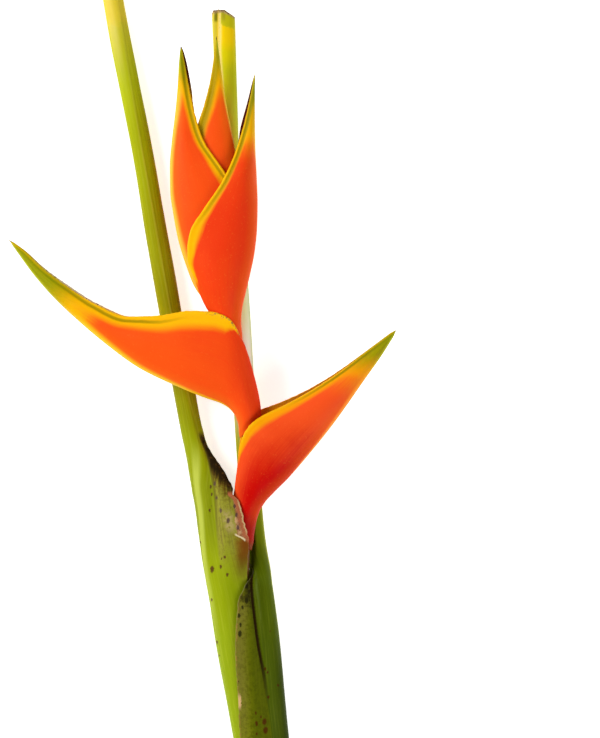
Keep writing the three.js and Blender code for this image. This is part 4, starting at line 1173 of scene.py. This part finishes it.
class HELICONIA_OT_stage(bpy.types.Operator):
    """Lays the pale surface and sets the soft light and the camera that looks down"""
    bl_idname = "heliconia.stage"
    bl_label = "Surface, light and camera"

    def execute(self, context):
        look = context.scene.heliconia_stage
        scene = context.scene
        self.lay_floor(tuple(look.floor), look.glow)
        for name, (place, width, share) in LIGHTS.items():
            self.hang_light(name, place, width, look.key * share)
        self.set_camera(scene)
        world = bpy.data.worlds.new("soft_studio")
        world.use_nodes = True
        background = world.node_tree.nodes["Background"]
        background.inputs["Color"].default_value = (1.0, 1.0, 1.0, 1.0)
        background.inputs["Strength"].default_value = look.sky
        scene.world = world
        scene.view_settings.view_transform = "Standard"
        return {"FINISHED"}

    def lay_floor(self, color, glow):
        """A wide flat surface that gives off a little light, so that it stays white."""
        mesh = bpy.data.meshes.new("surface")
        corners = [(x * FLOOR_HALF, y * FLOOR_HALF, 0) for x, y in ((-1, -1), (1, -1), (1, 1), (-1, 1))]
        mesh.from_pydata(corners, [], [(0, 1, 2, 3)])
        floor = bpy.data.objects.new("surface", mesh)
        bpy.context.collection.objects.link(floor)
        skin = Skin("surface_paper")
        grain = skin.noise(skin.place(), 400.0, 2.0)
        mesh.materials.append(skin.finish(color, 0.85 + grain * 0.05, grain, 0.05, 0.0, (1.0, 1.0, 1.0)))
        surface = skin.tree.nodes["Principled BSDF"]
        surface.inputs["Emission Color"].default_value = (1.0, 1.0, 1.0, 1.0)
        surface.inputs["Emission Strength"].default_value = glow

    def hang_light(self, name, place, width, power):
        """A round soft light that points at the origin."""
        data = bpy.data.lights.new(name, "AREA")
        data.shape = "DISK"
        data.size = width
        data.energy = power
        light = bpy.data.objects.new(name, data)
        light.location = place
        light.rotation_euler = (-Vector(place)).to_track_quat("-Z", "Y").to_euler()
        bpy.context.collection.objects.link(light)

    def set_camera(self, scene):
        """A camera that looks straight down with the photograph's frame."""
        data = bpy.data.cameras.new("photo_view")
        data.sensor_width = SENSOR
        data.lens = SENSOR * CAMERA_DISTANCE / (PHOTO_HEIGHT * MM_PER_PIXEL)
        camera = bpy.data.objects.new("photo_view", data)
        x, y = from_pixel(PHOTO_WIDTH / 2, PHOTO_HEIGHT / 2)
        camera.location = (x * MM, y * MM, (PLANE_HEIGHT + CAMERA_DISTANCE) * MM)
        bpy.context.collection.objects.link(camera)
        scene.camera = camera


class HELICONIA_PT_panel(bpy.types.Panel):
    """Lists the pieces of the flower"""
    bl_idname = "HELICONIA_PT_panel"
    bl_label = "Heliconia"
    bl_space_type = "VIEW_3D"
    bl_region_type = "UI"
    bl_category = "Heliconia"

    def draw(self, context):
        scene = context.scene
        for group in (scene.heliconia_bracts, scene.heliconia_stalks, scene.heliconia_stage):
            for name in group.__annotations__:
                self.layout.prop(group, name)
        for name in BRACTS:
            self.layout.operator("heliconia.bract", text=name).node = name
        for name in LEAVES:
            self.layout.operator("heliconia.leaf_stalk", text=name).node = name
        self.layout.operator("heliconia.flower_stalk")
        self.layout.operator("heliconia.stage")


CLASSES = (HeliconiaBracts, HeliconiaStalks, HeliconiaStage, HELICONIA_OT_bract,
           HELICONIA_OT_leaf_stalk, HELICONIA_OT_flower_stalk, HELICONIA_OT_stage,
           HELICONIA_PT_panel)


def register():
    for cls in CLASSES:
        bpy.utils.register_class(cls)
    bpy.types.Scene.heliconia_bracts = PointerProperty(type=HeliconiaBracts)
    bpy.types.Scene.heliconia_stalks = PointerProperty(type=HeliconiaStalks)
    bpy.types.Scene.heliconia_stage = PointerProperty(type=HeliconiaStage)


def unregister():
    del bpy.types.Scene.heliconia_stage
    del bpy.types.Scene.heliconia_stalks
    del bpy.types.Scene.heliconia_bracts
    for cls in reversed(CLASSES):
        bpy.utils.unregister_class(cls)


def main():
    register()
    bpy.ops.heliconia.stage()
    for name in BRACTS:
        bpy.ops.heliconia.bract(node=name)
    for name in LEAVES:
        bpy.ops.heliconia.leaf_stalk(node=name)
    bpy.ops.heliconia.flower_stalk()


if __name__ == "__main__":
    main()
